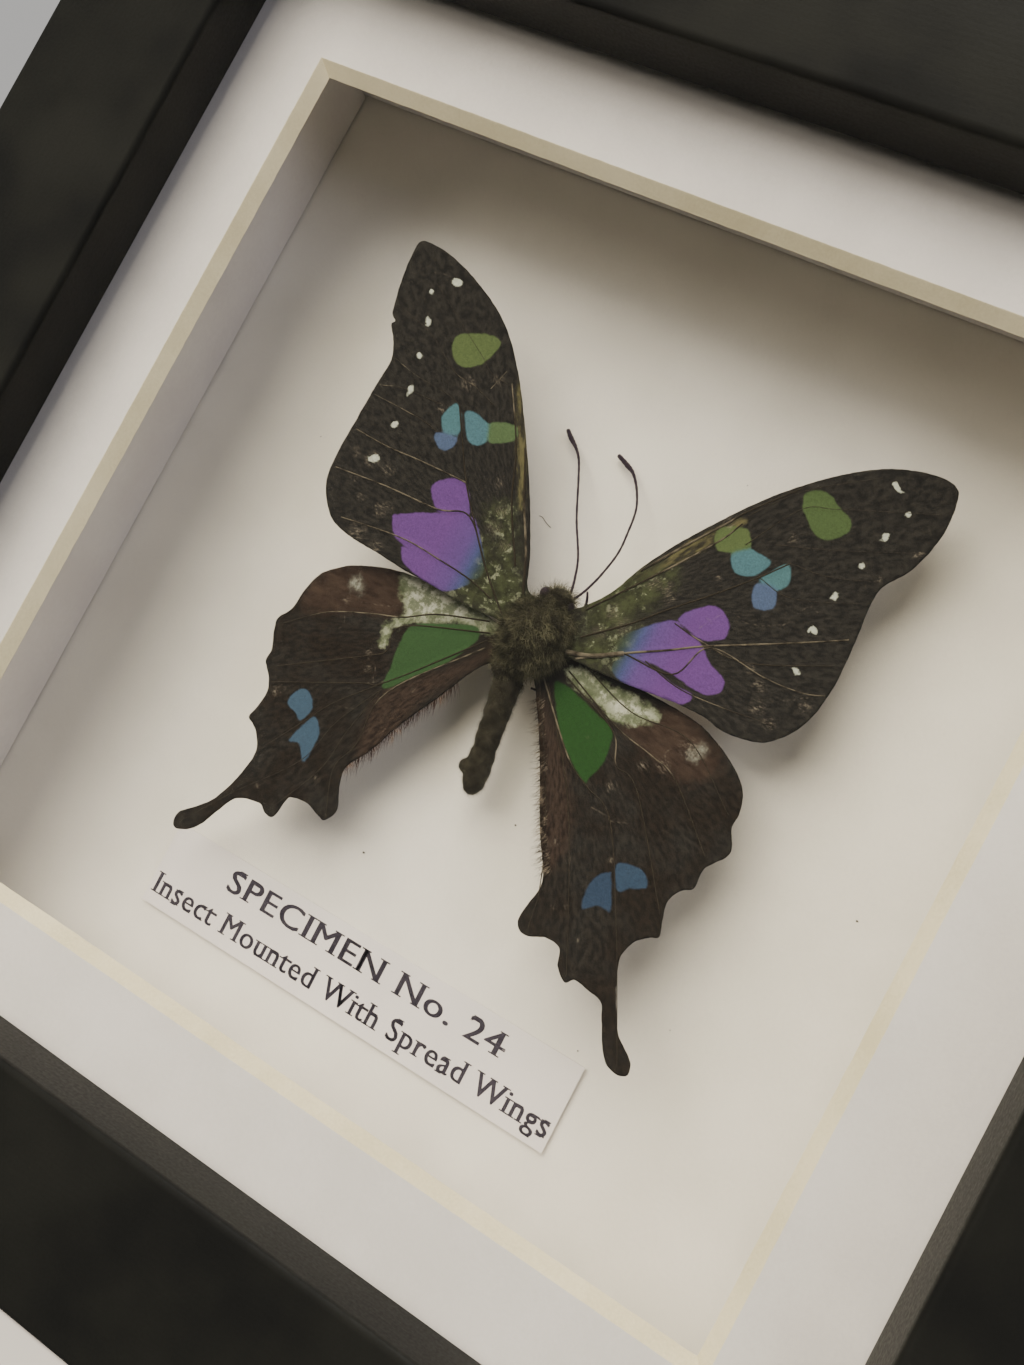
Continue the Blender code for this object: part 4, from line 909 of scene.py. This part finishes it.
def wingScales():
    # wings: overlapping scales a tenth of a millimetre wide, matt, drawn coarser so that they show.
    # The black ones are pigment, the green to violet ones shine by structure and sit in clear fields.
    material, tree, shader = startMaterial("butterflyScales", Roughness=0.62, Specular_IOR_Level=0.35,
                                           Sheen_Weight=0.05, Sheen_Roughness=0.4)
    space = millimetres(tree)
    fan = addNode(tree, "ShaderNodeUVMap", uv_map="flow")
    fan = addNode(tree, "ShaderNodeMapping", {"Vector": fan, "Scale": (0.3, 1.0, 1.0)})
    made = {}
    patterns = {
        # place, size in mm, detail, roughness
        "ragged": (space, 0.9, 6.0, 0.68), "grit": (space, 0.32, 3.0, 0.65), "fine": (space, 0.16, 1.0, 0.5),
        "cloud": (space, 4.0, 3.0, 0.5), "flaky": (space, 1.25, 7.0, 0.72), "streaks": (fan, 0.28, 3.0, 0.6),
        "broad": (fan, 0.8, 6.0, 0.7), "chips": (fan, 0.2, 5.0, 0.8),
    }
    for name, (place, size, detail, roughness) in patterns.items():
        made[name] = addNode(tree, "ShaderNodeTexNoise", {
            "Vector": place, "Scale": 1 / size, "Detail": detail, "Roughness": roughness})
    for name in ("hue", "fade", "patch", "white", "frost", "tan", "cream", "brown", "hairy", "wear",
                 "scratch", "browner"):
        made[name] = addNode(tree, "ShaderNodeAttribute", attribute_name=name).outputs["Fac"]
    torn = addNode(tree, "ShaderNodeMath", {0: made["ragged"], 1: 0.5}, operation="SUBTRACT")
    masks = {
        # mark, half the width of its edge, how far the edge is torn, how far in it starts, all in mm
        "tanArea": ("tan", 0.3, 1.2, 0.0), "oliveArea": ("frost", 1.6, 2.5, 0.4),
        "flakeArea": ("frost", 1.2, 4.0, 0.5), "brownArea": ("brown", 0.8, 3.0, 0.0),
        "hairyArea": ("hairy", 0.8, 1.2, 0.0), "creamArea": ("cream", 0.4, 2.6, 0.0),
        "field": ("patch", 0.13, 0.45, 0.0), "spot": ("white", 0.1, 1.0, 0.1),
        "smear": ("white", 0.7, 2.2, 0.1),
    }
    for name, (source, soft, rough, start) in masks.items():
        depth = addNode(tree, "ShaderNodeMath", {0: torn, 1: rough, 2: made[source]},
                        operation="MULTIPLY_ADD")
        made[name] = addNode(tree, "ShaderNodeMapRange", {
            "Value": depth, "From Min": start - soft, "From Max": start + soft},
            interpolation_type="SMOOTHSTEP")
    levels = {
        # pattern or mark, from, to, share at from, share at to
        "cloudy": ("cloud", 0.25, 0.65, 0.0, 1.0), "tanStreaks": ("broad", 0.4, 0.6, 0.1, 1.0),
        "flakes": ("flaky", 0.54, 0.61, 0.0, 1.0), "patchy": ("cloud", 0.4, 0.58, 0.4, 0.9),
        "thick": ("flaky", 0.46, 0.58, 0.15, 1.0), "deep": ("cream", 0.2, 1.3, 0.3, 1.0),
        "forewing": ("browner", 0.0, 1.0, 1.0, 0.0), "thin": ("flaky", 0.4, 0.6, 0.1, 0.6),
        "worn": ("wear", 0.0, 0.8, 0.0, 1.0), "wornChips": ("chips", 0.48, 0.64, 0.0, 0.65),
        "line": ("scratch", 0.02, 0.13, 0.34, 0.0), "lineChips": ("chips", 0.4, 0.6, 0.0, 1.0),
        "specks": ("chips", 0.72, 0.8, 0.0, 0.3),
    }
    for name, (source, low, high, least, most) in levels.items():
        made[name] = addNode(tree, "ShaderNodeMapRange", {
            "Value": made[source], "From Min": low, "From Max": high, "To Min": least, "To Max": most},
            interpolation_type="SMOOTHSTEP")
    hues = addNode(tree, "ShaderNodeValToRGB", {"Fac": made["hue"]})
    stops = hues.color_ramp.elements
    while len(stops) < len(fieldHues):
        stops.new(0.5)
    for stop, (place, code) in zip(stops, fieldHues):
        stop.position = place
        stop.color = linear(code)
    lively = addNode(tree, "ShaderNodeMath", {0: made["grit"], 1: made["fine"]})
    lively = addNode(tree, "ShaderNodeMath", {0: lively, 1: 0.46, 2: 0.55}, operation="MULTIPLY_ADD")
    lit = addNode(tree, "ShaderNodeVectorMath", {0: hues, "Scale": lively}, operation="SCALE")
    worn = shades(tree, made["grit"], 0.3, 0.7, "6d6558", "857c6e")
    coats = [
        # shares that are multiplied, and the paint; each coat lies over the ones before
        (("browner", "cloudy"), shades(tree, made["streaks"], 0.35, 0.7, "16130f", "241e18")),
        (("tanArea", "tanStreaks"), shades(tree, made["broad"], 0.35, 0.65, "45422d", "59553a")),
        (("oliveArea",), shades(tree, made["ragged"], 0.35, 0.65, "25271b", "3b402b")),
        (("flakeArea", "flakes", "patchy"), shades(tree, made["grit"], 0.3, 0.7, "6e735c", "8b9077")),
        (("brownArea",), shades(tree, made["broad"], 0.3, 0.7, "241b16", "3b3028")),
        (("hairyArea",), shades(tree, made["streaks"], 0.3, 0.7, "1d1713", "372d26")),
        (("creamArea",), shades(tree, made["flaky"], 0.35, 0.6, "424b32", "6d745a")),
        (("creamArea", "thick", "deep"), shades(tree, made["grit"], 0.3, 0.7, "9a9c8b", "b1b3a2")),
        (("field", "fade"), lit),
        (("spot", "forewing"), shades(tree, made["grit"], 0.3, 0.7, "a6ab9c", "b8bdae")),
        (("smear", "thin", "browner"), shades(tree, made["grit"], 0.3, 0.7, "9c9f90", "b0b3a4")),
        (("worn", "wornChips"), worn), (("line", "lineChips"), worn), (("specks",), worn),
    ]
    colour = shades(tree, made["streaks"], 0.35, 0.7, "191816", "2c2a26")
    for names, paint in coats:
        share = 1.0
        for name in names:
            share = addNode(tree, "ShaderNodeMath", {0: share, 1: made[name]}, operation="MULTIPLY")
        colour = addNode(tree, "ShaderNodeMix", {0: share, 6: colour, 7: paint}, data_type="RGBA")
    height = addNode(tree, "ShaderNodeMath", {0: made["fine"], 1: 0.4, 2: made["grit"]},
                     operation="MULTIPLY_ADD")
    relief = addNode(tree, "ShaderNodeBump", {"Height": height, "Distance": 0.02 * mm})
    feed(tree, shader, {"Base Color": colour, "Normal": relief})
    return material


def veinTree(material):
    tree = bpy.data.node_groups.new("veinTubes", "GeometryNodeTree")
    face = tree.interface
    face.new_socket("Lines", in_out="INPUT", socket_type="NodeSocketGeometry")
    face.new_socket("Radius", in_out="INPUT", socket_type="NodeSocketFloat")
    face.new_socket("Tubes", in_out="OUTPUT", socket_type="NodeSocketGeometry")
    given, made = addNode(tree, "NodeGroupInput"), addNode(tree, "NodeGroupOutput")
    size = addNode(tree, "GeometryNodeInputNamedAttribute", {"Name": "size"}, data_type="FLOAT")
    radius = addNode(tree, "ShaderNodeMath", {0: size, 1: given.outputs["Radius"]}, operation="MULTIPLY")
    line = addNode(tree, "GeometryNodeMeshToCurve", {"Mesh": given.outputs["Lines"]})
    ring = addNode(tree, "GeometryNodeCurvePrimitiveCircle", {
        "Resolution": veinTubes["sides"], "Radius": 1.0})
    tube = addNode(tree, "GeometryNodeCurveToMesh", {
        "Curve": line, "Profile Curve": ring, "Scale": radius, "Fill Caps": True})
    real = addNode(tree, "GeometryNodeRealizeInstances", {"Geometry": tube})
    tubes = addNode(tree, "GeometryNodeSetMaterial", {"Geometry": real, "Material": material})
    feed(tree, made, {"Tubes": tubes})
    return tree


def runTree(name, mesh, tree, **values):
    holder = addObject(name, mesh)
    nodes = holder.modifiers.new("Nodes", "NODES")
    nodes.node_group = tree
    for item in tree.interface.items_tree:
        if item.in_out == "INPUT" and item.name in values:
            nodes[item.identifier] = values[item.name]
    return bakedMesh(holder)


def makeVeins(name, wing, tree, material):
    points, edges, sizes, pales = [], [], [], []
    loop = smoothLoop(wing["outline"], wingSheet["outlineSteps"])
    for thick, paleFrom, paleTo, line in wing["veins"]:
        run = smoothLine(line, veinTubes["steps"])
        run = run[insideBy(run, loop) > veinTubes["fromEdge"]]
        first = len(points)
        for k, (out, up) in enumerate(run):
            share = k / (len(run) - 1)
            points.append(wingPoint(wing, out, up, veinTubes["proud"]))
            taper = veinTubes["taper"] * min(math.hypot(out, up) / veinTubes["taperReach"], 1)
            sizes.append(thick * (1 - taper))
            pales.append(float(paleFrom <= share <= paleTo and paleTo > paleFrom))
        edges += [(k, k + 1) for k in range(first, len(points) - 1)]
    mesh = bpy.data.meshes.new(name)
    mesh.from_pydata(points, edges, [])
    setMark(mesh, "size", sizes)
    setMark(mesh, "pale", pales)
    tubes = runTree(name, mesh, tree, Radius=veinTubes["radius"] * mm)
    tubes.shade_smooth()
    addPiece(f"veins_{name}", tubes, [], "dark_horn")


def veinHorn():
    # wing veins: thin horn tubes under dark scales, rubbed pale here and there
    material, tree, shader = startMaterial("wingVeinHorn", Roughness=0.55)
    space = millimetres(tree)
    rubbed = addNode(tree, "ShaderNodeAttribute", attribute_name="pale").outputs["Fac"]
    patches = addNode(tree, "ShaderNodeTexNoise", {"Vector": space, "Scale": 1 / 1.1, "Detail": 3.0})
    patches = addNode(tree, "ShaderNodeMapRange", {"Value": patches, "From Min": 0.35, "From Max": 0.6})
    share = addNode(tree, "ShaderNodeMath", {0: rubbed, 1: patches}, operation="MULTIPLY")
    grain = addNode(tree, "ShaderNodeTexNoise", {"Vector": space, "Scale": 2.5})
    dark = shades(tree, grain, 0.0, 1.0, "1e1a15", "332d22")
    paint = addNode(tree, "ShaderNodeMix", {0: share, 6: dark, 7: linear("645d4e")}, data_type="RGBA")
    relief = addNode(tree, "ShaderNodeBump", {"Height": grain, "Distance": 0.01 * mm})
    feed(tree, shader, {"Base Color": paint, "Normal": relief})
    return material


def makeWings():
    scales = wingScales()
    horn = veinHorn()
    tubes = veinTree(horn)
    for name, wing in wings.items():
        makeWing(name, wing, scales)
        makeVeins(name, wing, tubes, horn)


makeWings()
print("wings are spread")


# Body, feelers and legs

body = {
    "lumps": [
        # centre, radii
        ((0.3, 3.4, 77.3), (3.6, 2.9, 4.2)),
        ((0.8, 3.9, 81.8), (1.8, 1.6, 1.6)),
        ((0.5, 3.9, 80.4), (1.6, 1.5, 1.5)),
        ((-2.0, 3.7, 79.0), (1.5, 1.3, 1.8)),
        ((2.7, 3.7, 79.2), (1.5, 1.3, 1.8)),
        ((-0.9, 4.4, 73.2), (1.9, 1.7, 1.9)),
        ((-0.3, 5.8, 61.4), (0.8, 0.8, 0.8)),
    ],
    "abdomenStart": (-0.6, 4.6, 74.0), "abdomenEnd": (1.4, 6.3, 59.0),
    "abdomenRadii": (1.4, 1.6, 1.6, 1.6, 1.5, 1.5, 1.4, 1.45, 1.35, 1.45, 1.5, 1.35, 0.85),
    "rings": 9, "ringDepth": 0.12, "stations": 72, "turns": 40, "tip": 0.35, "voxel": 0.22,
    "crust": ((0.12, 700), (0.07, 2200)),  # height in mm, grain per metre
    "furByHeight": [
        (58.5, 0.35), (60.0, 0.35), (62.0, 0.28), (71.0, 0.4), (74.0, 0.95), (82.0, 1.0), (84.0, 0.85)],
    "eyes": [((-0.8, 3.7, 82.1), 0.8), ((2.05, 3.6, 81.9), 0.7)],
}
feelers = {
    "antenna_left": [
        (1.6, 3.7, 82.6), (1.4, 4.0, 83.8), (0.9, 4.4, 85.4), (0.2, 4.9, 87.1), (-0.9, 5.5, 88.9),
        (-2.6, 6.4, 91.5), (-5.1, 8.0, 96.1), (-6.4, 8.8, 98.3), (-7.5, 9.3, 99.5), (-8.7, 9.7, 100.4),
        (-9.6, 10.0, 101.2)],
    "antenna_right": [
        (1.9, 3.7, 82.4), (2.4, 4.2, 83.6), (2.8, 4.7, 84.9), (3.2, 5.4, 86.9), (3.5, 6.3, 89.9),
        (3.2, 7.1, 92.6), (2.6, 8.0, 95.5), (1.4, 8.8, 97.8), (0.0, 9.4, 99.5), (-1.2, 9.7, 100.2),
        (-2.7, 10.0, 100.9)],
    "leg_front_left": [(-1.9, 6.3, 79.0), (-3.1, 7.2, 80.2), (-2.6, 8.4, 81.4), (-1.4, 8.8, 81.6)],
    "leg_front_right": [
        (2.1, 6.3, 79.0), (3.4, 6.9, 80.6), (3.1, 6.8, 82.4), (2.9, 6.4, 83.7), (2.5, 6.3, 84.6)],
    "leg_middle_left": [(-2.0, 6.6, 77.6), (-3.3, 7.6, 76.4), (-2.9, 8.5, 74.8), (-1.8, 9.3, 73.6)],
    "leg_middle_right": [(2.2, 6.6, 77.6), (3.5, 7.6, 76.4), (3.1, 8.5, 74.8), (2.0, 9.3, 73.6)],
    "leg_hind_left": [(-1.9, 6.5, 75.4), (-2.9, 7.9, 73.6), (-2.2, 9.0, 72.6), (-1.0, 9.7, 72.4)],
    "leg_hind_right": [(2.1, 6.5, 75.4), (3.1, 7.9, 73.6), (2.4, 9.0, 72.6), (1.2, 9.7, 72.4)],
}
feelerForm = {
    # radii from root to tip
    "antenna": (0.17, 0.15, 0.14, 0.13, 0.13, 0.13, 0.14, 0.18, 0.31, 0.26), "leg": (0.24, 0.2, 0.13),
    "sides": 10, "steps": 8,
    "tip": 0.8,  # length of the end's cone, in radii
    "swell": 0.12, "swellTurn": 2.1,  # share by which the joints swell, radians from one ring to the next
}
fur = {"density": 48e6, "length": 1.3, "lean": (0.0, 0.0, -0.5), "tousle": 0.9, "seed": 5}
hairForm = {
    # a hair's thickness and bend as shares of its length, its tip as a share of its thickness,
    # and the least and the most that its length is varied by
    "thickness": 0.018, "bend": 0.35, "tip": 0.12, "shortest": 0.45, "longest": 1.2,
}


def bodyCore():
    bm = bmesh.new()
    for centre, radii in body["lumps"]:
        shape = Matrix.Translation(Vector(centre) * mm) @ Matrix.Diagonal((*(Vector(radii) * mm), 1.0))
        bmesh.ops.create_uvsphere(bm, u_segments=32, v_segments=20, radius=1.0, matrix=shape)
    lumps = set(bm.verts)
    start, end = (Vector(body[k]) * mm for k in ("abdomenStart", "abdomenEnd"))
    turn = (end - start).to_track_quat("Z", "Y").to_matrix().to_4x4()
    length, radii = (end - start).length, body["abdomenRadii"]
    profile = [(0, 0)]
    for k in range(body["stations"] + 1):
        share = k / body["stations"]
        radius = np.interp(share * (len(radii) - 1), range(len(radii)), radii)
        radius -= body["ringDepth"] * abs(math.cos(math.pi * share * body["rings"])) ** 6
        profile.append((radius * mm, share * length))
    profile.append((0, length + body["tip"] * mm))
    points = [bm.verts.new((radius, 0, height)) for radius, height in profile]
    edges = [bm.edges.new(pair) for pair in zip(points, points[1:])]
    bmesh.ops.spin(bm, geom=[*points, *edges], cent=(0, 0, 0), axis=(0, 0, 1), angle=2 * math.pi,
                   steps=body["turns"], use_merge=True)
    abdomen = [v for v in bm.verts if v not in lumps]
    bmesh.ops.transform(bm, matrix=Matrix.Translation(start) @ turn, verts=abdomen)
    bmesh.ops.remove_doubles(bm, verts=bm.verts, dist=1e-7)
    core = addObject("core", meshFrom(bm, "core"))
    skin = core.modifiers.new("Skin", "REMESH")
    skin.mode = "VOXEL"
    skin.voxel_size = body["voxel"] * mm
    ease = core.modifiers.new("Ease", "SMOOTH")
    ease.factor = 0.5
    ease.iterations = 2
    mesh = bakedMesh(core)
    lengths = []
    for vert in mesh.vertices:
        push = sum(height * noise.noise(vert.co * grain) for height, grain in body["crust"])
        vert.co += vert.normal * push * mm
        lengths.append(np.interp(vert.co.z / mm, *zip(*body["furByHeight"])))
    setMark(mesh, "furLength", lengths)
    return mesh


def furTree(material):
    tree = bpy.data.node_groups.new("combedHair", "GeometryNodeTree")
    face = tree.interface
    for name, kind in (("Skin", "Geometry"), ("Density", "Float"), ("Length", "Float"),
                       ("Thickness", "Float"), ("Lean", "Vector"), ("Tousle", "Float"), ("Seed", "Int")):
        face.new_socket(name, in_out="INPUT", socket_type=f"NodeSocket{kind}")
    face.new_socket("Hair", in_out="OUTPUT", socket_type="NodeSocketGeometry")
    given, made = addNode(tree, "NodeGroupInput").outputs, addNode(tree, "NodeGroupOutput")
    roots = addNode(tree, "GeometryNodeDistributePointsOnFaces", {
        "Mesh": given["Skin"], "Density": given["Density"], "Seed": given["Seed"]})
    # one hair: a three-sided cone, a unit long, bent to one side
    cone = addNode(tree, "GeometryNodeMeshCone", {
        "Vertices": 3, "Side Segments": 2, "Radius Top": hairForm["tip"], "Radius Bottom": 1.0,
        "Depth": 1.0}, fill_type="NONE")
    at = addNode(tree, "ShaderNodeSeparateXYZ", {0: addNode(tree, "GeometryNodeInputPosition")}).outputs
    curve = addNode(tree, "ShaderNodeMath", {0: at["Z"], 1: at["Z"]}, operation="MULTIPLY")
    curve = addNode(tree, "ShaderNodeMath", {0: curve, 1: hairForm["bend"]}, operation="MULTIPLY")
    bend = addNode(tree, "ShaderNodeMath", {0: at["X"], 1: given["Thickness"], 2: curve},
                   operation="MULTIPLY_ADD")
    deep = addNode(tree, "ShaderNodeMath", {0: at["Y"], 1: given["Thickness"]}, operation="MULTIPLY")
    shaped = addNode(tree, "ShaderNodeCombineXYZ", {"X": bend, "Y": deep, "Z": at["Z"]})
    hair = addNode(tree, "GeometryNodeSetPosition", {"Geometry": cone, "Position": shaped})
    stray = addNode(tree, "FunctionNodeRandomValue", {
        "Min": (-1.0, -1.0, -1.0), "Max": (1.0, 1.0, 1.0), "Seed": given["Seed"]}, data_type="FLOAT_VECTOR")
    stray = addNode(tree, "ShaderNodeVectorMath", {0: stray, "Scale": given["Tousle"]}, operation="SCALE")
    way = addNode(tree, "ShaderNodeVectorMath", {0: roots.outputs["Normal"], 1: given["Lean"]})
    way = addNode(tree, "ShaderNodeVectorMath", {0: way, 1: stray})
    turn = addNode(tree, "FunctionNodeAlignRotationToVector", {"Vector": way}, axis="Z")
    # inputs 2 and 3 are the least and the most of a plain number
    vary = addNode(tree, "FunctionNodeRandomValue", {
        2: hairForm["shortest"], 3: hairForm["longest"], "Seed": given["Seed"]}, data_type="FLOAT")
    region = addNode(tree, "GeometryNodeInputNamedAttribute", {"Name": "furLength"}, data_type="FLOAT")
    reach = addNode(tree, "ShaderNodeMath", {0: vary, 1: given["Length"]}, operation="MULTIPLY")
    reach = addNode(tree, "ShaderNodeMath", {0: reach, 1: region}, operation="MULTIPLY")
    coat = addNode(tree, "GeometryNodeInstanceOnPoints", {
        "Points": roots, "Instance": hair, "Rotation": turn, "Scale": reach})
    real = addNode(tree, "GeometryNodeRealizeInstances", {"Geometry": coat})
    hairs = addNode(tree, "GeometryNodeSetMaterial", {"Geometry": real, "Material": material})
    feed(tree, made, {"Hair": hairs})
    return tree


def hairMaterial(name, dark, pale):
    # fine insect hair: matt, each tuft a little lighter or darker than the next, darker on the tail
    material, tree, shader = startMaterial(name, Roughness=0.6, Specular_IOR_Level=0.3)
    space = millimetres(tree)
    tufts = addNode(tree, "ShaderNodeTexNoise", {
        "Vector": space, "Scale": 1 / 1.4, "Detail": 4.0, "Roughness": 0.6})
    height = addNode(tree, "ShaderNodeSeparateXYZ", {0: space}).outputs["Z"]
    fade = addNode(tree, "ShaderNodeMapRange", {
        "Value": height, "From Min": 68.0, "From Max": 76.0, "To Min": 0.84, "To Max": 1.0})
    share = addNode(tree, "ShaderNodeMath", {0: tufts, 1: fade}, operation="MULTIPLY")
    bits = addNode(tree, "ShaderNodeTexNoise", {"Vector": space, "Scale": 8.0, "Detail": 1.0})
    relief = addNode(tree, "ShaderNodeBump", {"Height": bits, "Distance": 0.01 * mm})
    feed(tree, shader, {"Base Color": shades(tree, share, 0.38, 0.64, dark, pale), "Normal": relief})
    return material


def bodyChitin():
    # dried body: dark olive-brown skin, matt and a little crusted
    material, tree, shader = startMaterial("driedBodySkin", Roughness=0.7, Specular_IOR_Level=0.35)
    space = millimetres(tree)
    patches = addNode(tree, "ShaderNodeTexNoise", {
        "Vector": space, "Scale": 1 / 1.2, "Detail": 4.0, "Roughness": 0.6})
    crust = addNode(tree, "ShaderNodeTexNoise", {"Vector": space, "Scale": 1 / 0.3, "Detail": 3.0})
    relief = addNode(tree, "ShaderNodeBump", {"Height": crust, "Distance": 0.06 * mm})
    feed(tree, shader, {"Base Color": shades(tree, patches, 0.3, 0.7, "1a1811", "333027"), "Normal": relief})
    return material


def hornDark():
    # feelers and legs: thin dark horn, smooth, with a purple-black cast
    material, tree, shader = startMaterial("darkHorn", Roughness=0.42)
    space = millimetres(tree)
    patches = addNode(tree, "ShaderNodeTexNoise", {"Vector": space, "Scale": 2.0})
    ridges = addNode(tree, "ShaderNodeTexNoise", {"Vector": space, "Scale": 4.0, "Detail": 1.0})
    relief = addNode(tree, "ShaderNodeBump", {"Height": ridges, "Distance": 0.01 * mm})
    feed(tree, shader, {"Base Color": shades(tree, patches, 0.0, 1.0, "1d151f", "342a33"), "Normal": relief})
    return material


def makeFeeler(name, line, radii, material):
    run = smoothLine(line, feelerForm["steps"])
    circle = [2 * math.pi * n / feelerForm["sides"] for n in range(feelerForm["sides"])]
    bm = bmesh.new()
    rings = []
    for k, point in enumerate(run):
        ahead = Vector(run[min(k + 1, len(run) - 1)] - run[max(k - 1, 0)]).normalized()
        side = ahead.cross(Vector((0.3, 0.9, 0.2))).normalized()  # a direction that no feeler runs along
        other = ahead.cross(side)
        radius = float(np.interp(k / (len(run) - 1) * (len(radii) - 1), range(len(radii)), radii))
        radius *= 1 + feelerForm["swell"] * math.cos(k * feelerForm["swellTurn"])
        spokes = [side * math.cos(a) + other * math.sin(a) for a in circle]
        rings.append([bm.verts.new((Vector(point) + radius * spoke) * mm) for spoke in spokes])
    for pair in zip(rings, rings[1:]):
        bridge(bm, *pair)
    last = rings[-1]
    bm.faces.new(rings[0])
    tip = bm.verts.new((Vector(run[-1]) + ahead * radius * feelerForm["tip"]) * mm)
    for corner, after in zip(last, last[1:] + last[:1]):
        bm.faces.new((corner, after, tip))
    addPiece(f"horn_{name}", meshFrom(bm, name), [material], "dark_horn", name, smooth=True)


margins = {
    # hair along the inner edge of each hindwing: line, way it leans, length in mm, colours
    "hindwing_left": (
        [(2.2, -6.6), (3.4, -9.0), (5.8, -13.8), (7.5, -18.0), (9.0, -20.7)],
        (0.75, -0.1, -1.1), 1.7, "332017", "a07c5e"),
    "hindwing_right": (
        [(-0.5, -4.2), (2.4, -8.5), (4.8, -12.6), (7.1, -16.6), (9.5, -20.1)],
        (-0.5, -0.1, -1.3), 1.5, "2a2119", "b3a48e"),
}
marginForm = {
    "density": 42e6, "lean": 2.2, "tousle": 0.7, "seed": 3, "steps": 6,
    "strip": (0.1, 0.9), "slant": 0.5, "depth": -0.03,  # the strip that the hair grows on
}


def makeMarginHair(name, line, lean, length, dark, pale):
    bm = bmesh.new()
    pairs = []
    for out, up in smoothLine(line, marginForm["steps"]):
        spots = [(out + shift, up + shift * marginForm["slant"]) for shift in marginForm["strip"]]
        pairs.append([bm.verts.new(wingPoint(wings[name], *spot, marginForm["depth"])) for spot in spots])
    for (a, b), (c, d) in zip(pairs, pairs[1:]):
        bm.faces.new((a, b, d, c))
    mesh = meshFrom(bm, name)
    setMark(mesh, "furLength", [1.0] * len(mesh.vertices))
    coat = hairMaterial(f"marginHair_{name}", dark, pale)
    hair = runTree(name, mesh, furTree(coat), Density=marginForm["density"], Length=length * mm,
                   Thickness=hairForm["thickness"], Lean=Vector(lean) * marginForm["lean"],
                   Tousle=marginForm["tousle"], Seed=marginForm["seed"])
    addPiece(f"margin_hair_{name}", hair, [], "brown_fur")


dust = {
    # on the mount board, (x, z, size) in mm, and a stray fibre
    "specks": [
        (-7.5, 46.5, 0.16), (6.8, 57.9, 0.13), (43.5, 66.7, 0.14), (19.0, 98.0, 0.15),
        (32.0, 47.0, 0.08), (24.5, 40.0, 0.09), (-38.0, 88.0, 0.08), (12.0, 104.0, 0.07)],
    "fibre": [(-8.0, 90.8), (-7.5, 90.75), (-6.9, 90.4), (-6.1, 90.1)],
    "fibreRadius": 0.03, "fibreLift": 0.05, "fibreSteps": 6, "board": 10.8,
    # a speck's proportions, how far it stands off, in its own size, and its lumps
    "flat": (1.0, 0.5, 0.8), "lift": 0.3, "rough": 0.3, "roughGrain": 9000,
}


def makeDust():
    # house dust: grey-brown lint, matt
    lint, tree, shader = startMaterial("greyLint", Roughness=0.9)
    fluff = addNode(tree, "ShaderNodeTexNoise", {"Vector": millimetres(tree), "Scale": 5.0})
    feed(tree, shader, {"Base Color": shades(tree, fluff, 0.0, 1.0, "45403a", "6e6860")})
    bm = bmesh.new()
    for x, z, size in dust["specks"]:
        shape = Matrix.Translation(Vector((x, dust["board"] - dust["lift"] * size, z)) * mm)
        shape = shape @ Matrix.Diagonal((*(Vector(dust["flat"]) * size * mm), 1.0))
        made = bmesh.ops.create_icosphere(bm, subdivisions=2, radius=1.0, matrix=shape)
        for vert in made["verts"]:
            vert.co += noise.noise_vector(vert.co * dust["roughGrain"]) * dust["rough"] * size * mm
    line = [(x, dust["board"] - dust["fibreLift"], z) for x, z in dust["fibre"]]
    run = smoothLine(line, dust["fibreSteps"])
    radius = dust["fibreRadius"]
    square = [Vector((math.cos(a), math.sin(a), math.cos(a))) * radius for a in (0.0, 1.57, 3.14, 4.71)]
    rings = [[bm.verts.new((Vector(p) + corner) * mm) for corner in square] for p in run]
    for pair in zip(rings, rings[1:]):
        bridge(bm, *pair)
    bm.faces.new(rings[0])
    bm.faces.new(rings[-1])
    addPiece("board_dust", meshFrom(bm, "dust"), [lint], "dark_horn", smooth=True)


def makeBody():
    core = bodyCore()
    coat = hairMaterial("driedBodyHair", "24231a", "68664f")
    hair = runTree("fur", core.copy(), furTree(coat), Density=fur["density"], Length=fur["length"] * mm,
                   Thickness=hairForm["thickness"], Lean=Vector(fur["lean"]), Tousle=fur["tousle"],
                   Seed=fur["seed"])
    addPiece("body_fur", hair, [], "brown_fur")
    addPiece("body_core", core, [bodyChitin()], "brown_fur", "butterfly_body", smooth=True)
    horn = hornDark()
    for number, (centre, radius) in enumerate(body["eyes"], 1):
        bm = bmesh.new()
        place = Matrix.Translation(Vector(centre) * mm)
        bmesh.ops.create_icosphere(bm, subdivisions=4, radius=radius * mm, matrix=place)
        addPiece(f"eye_{number}", meshFrom(bm, "eye"), [horn], "dark_horn", smooth=True)
    for name, line in feelers.items():
        makeFeeler(name, line, feelerForm[name.split("_")[0]], horn)
    for name, settings in margins.items():
        makeMarginHair(name, *settings)
    makeDust()


makeBody()
print("body, fur, feelers and legs are in place")
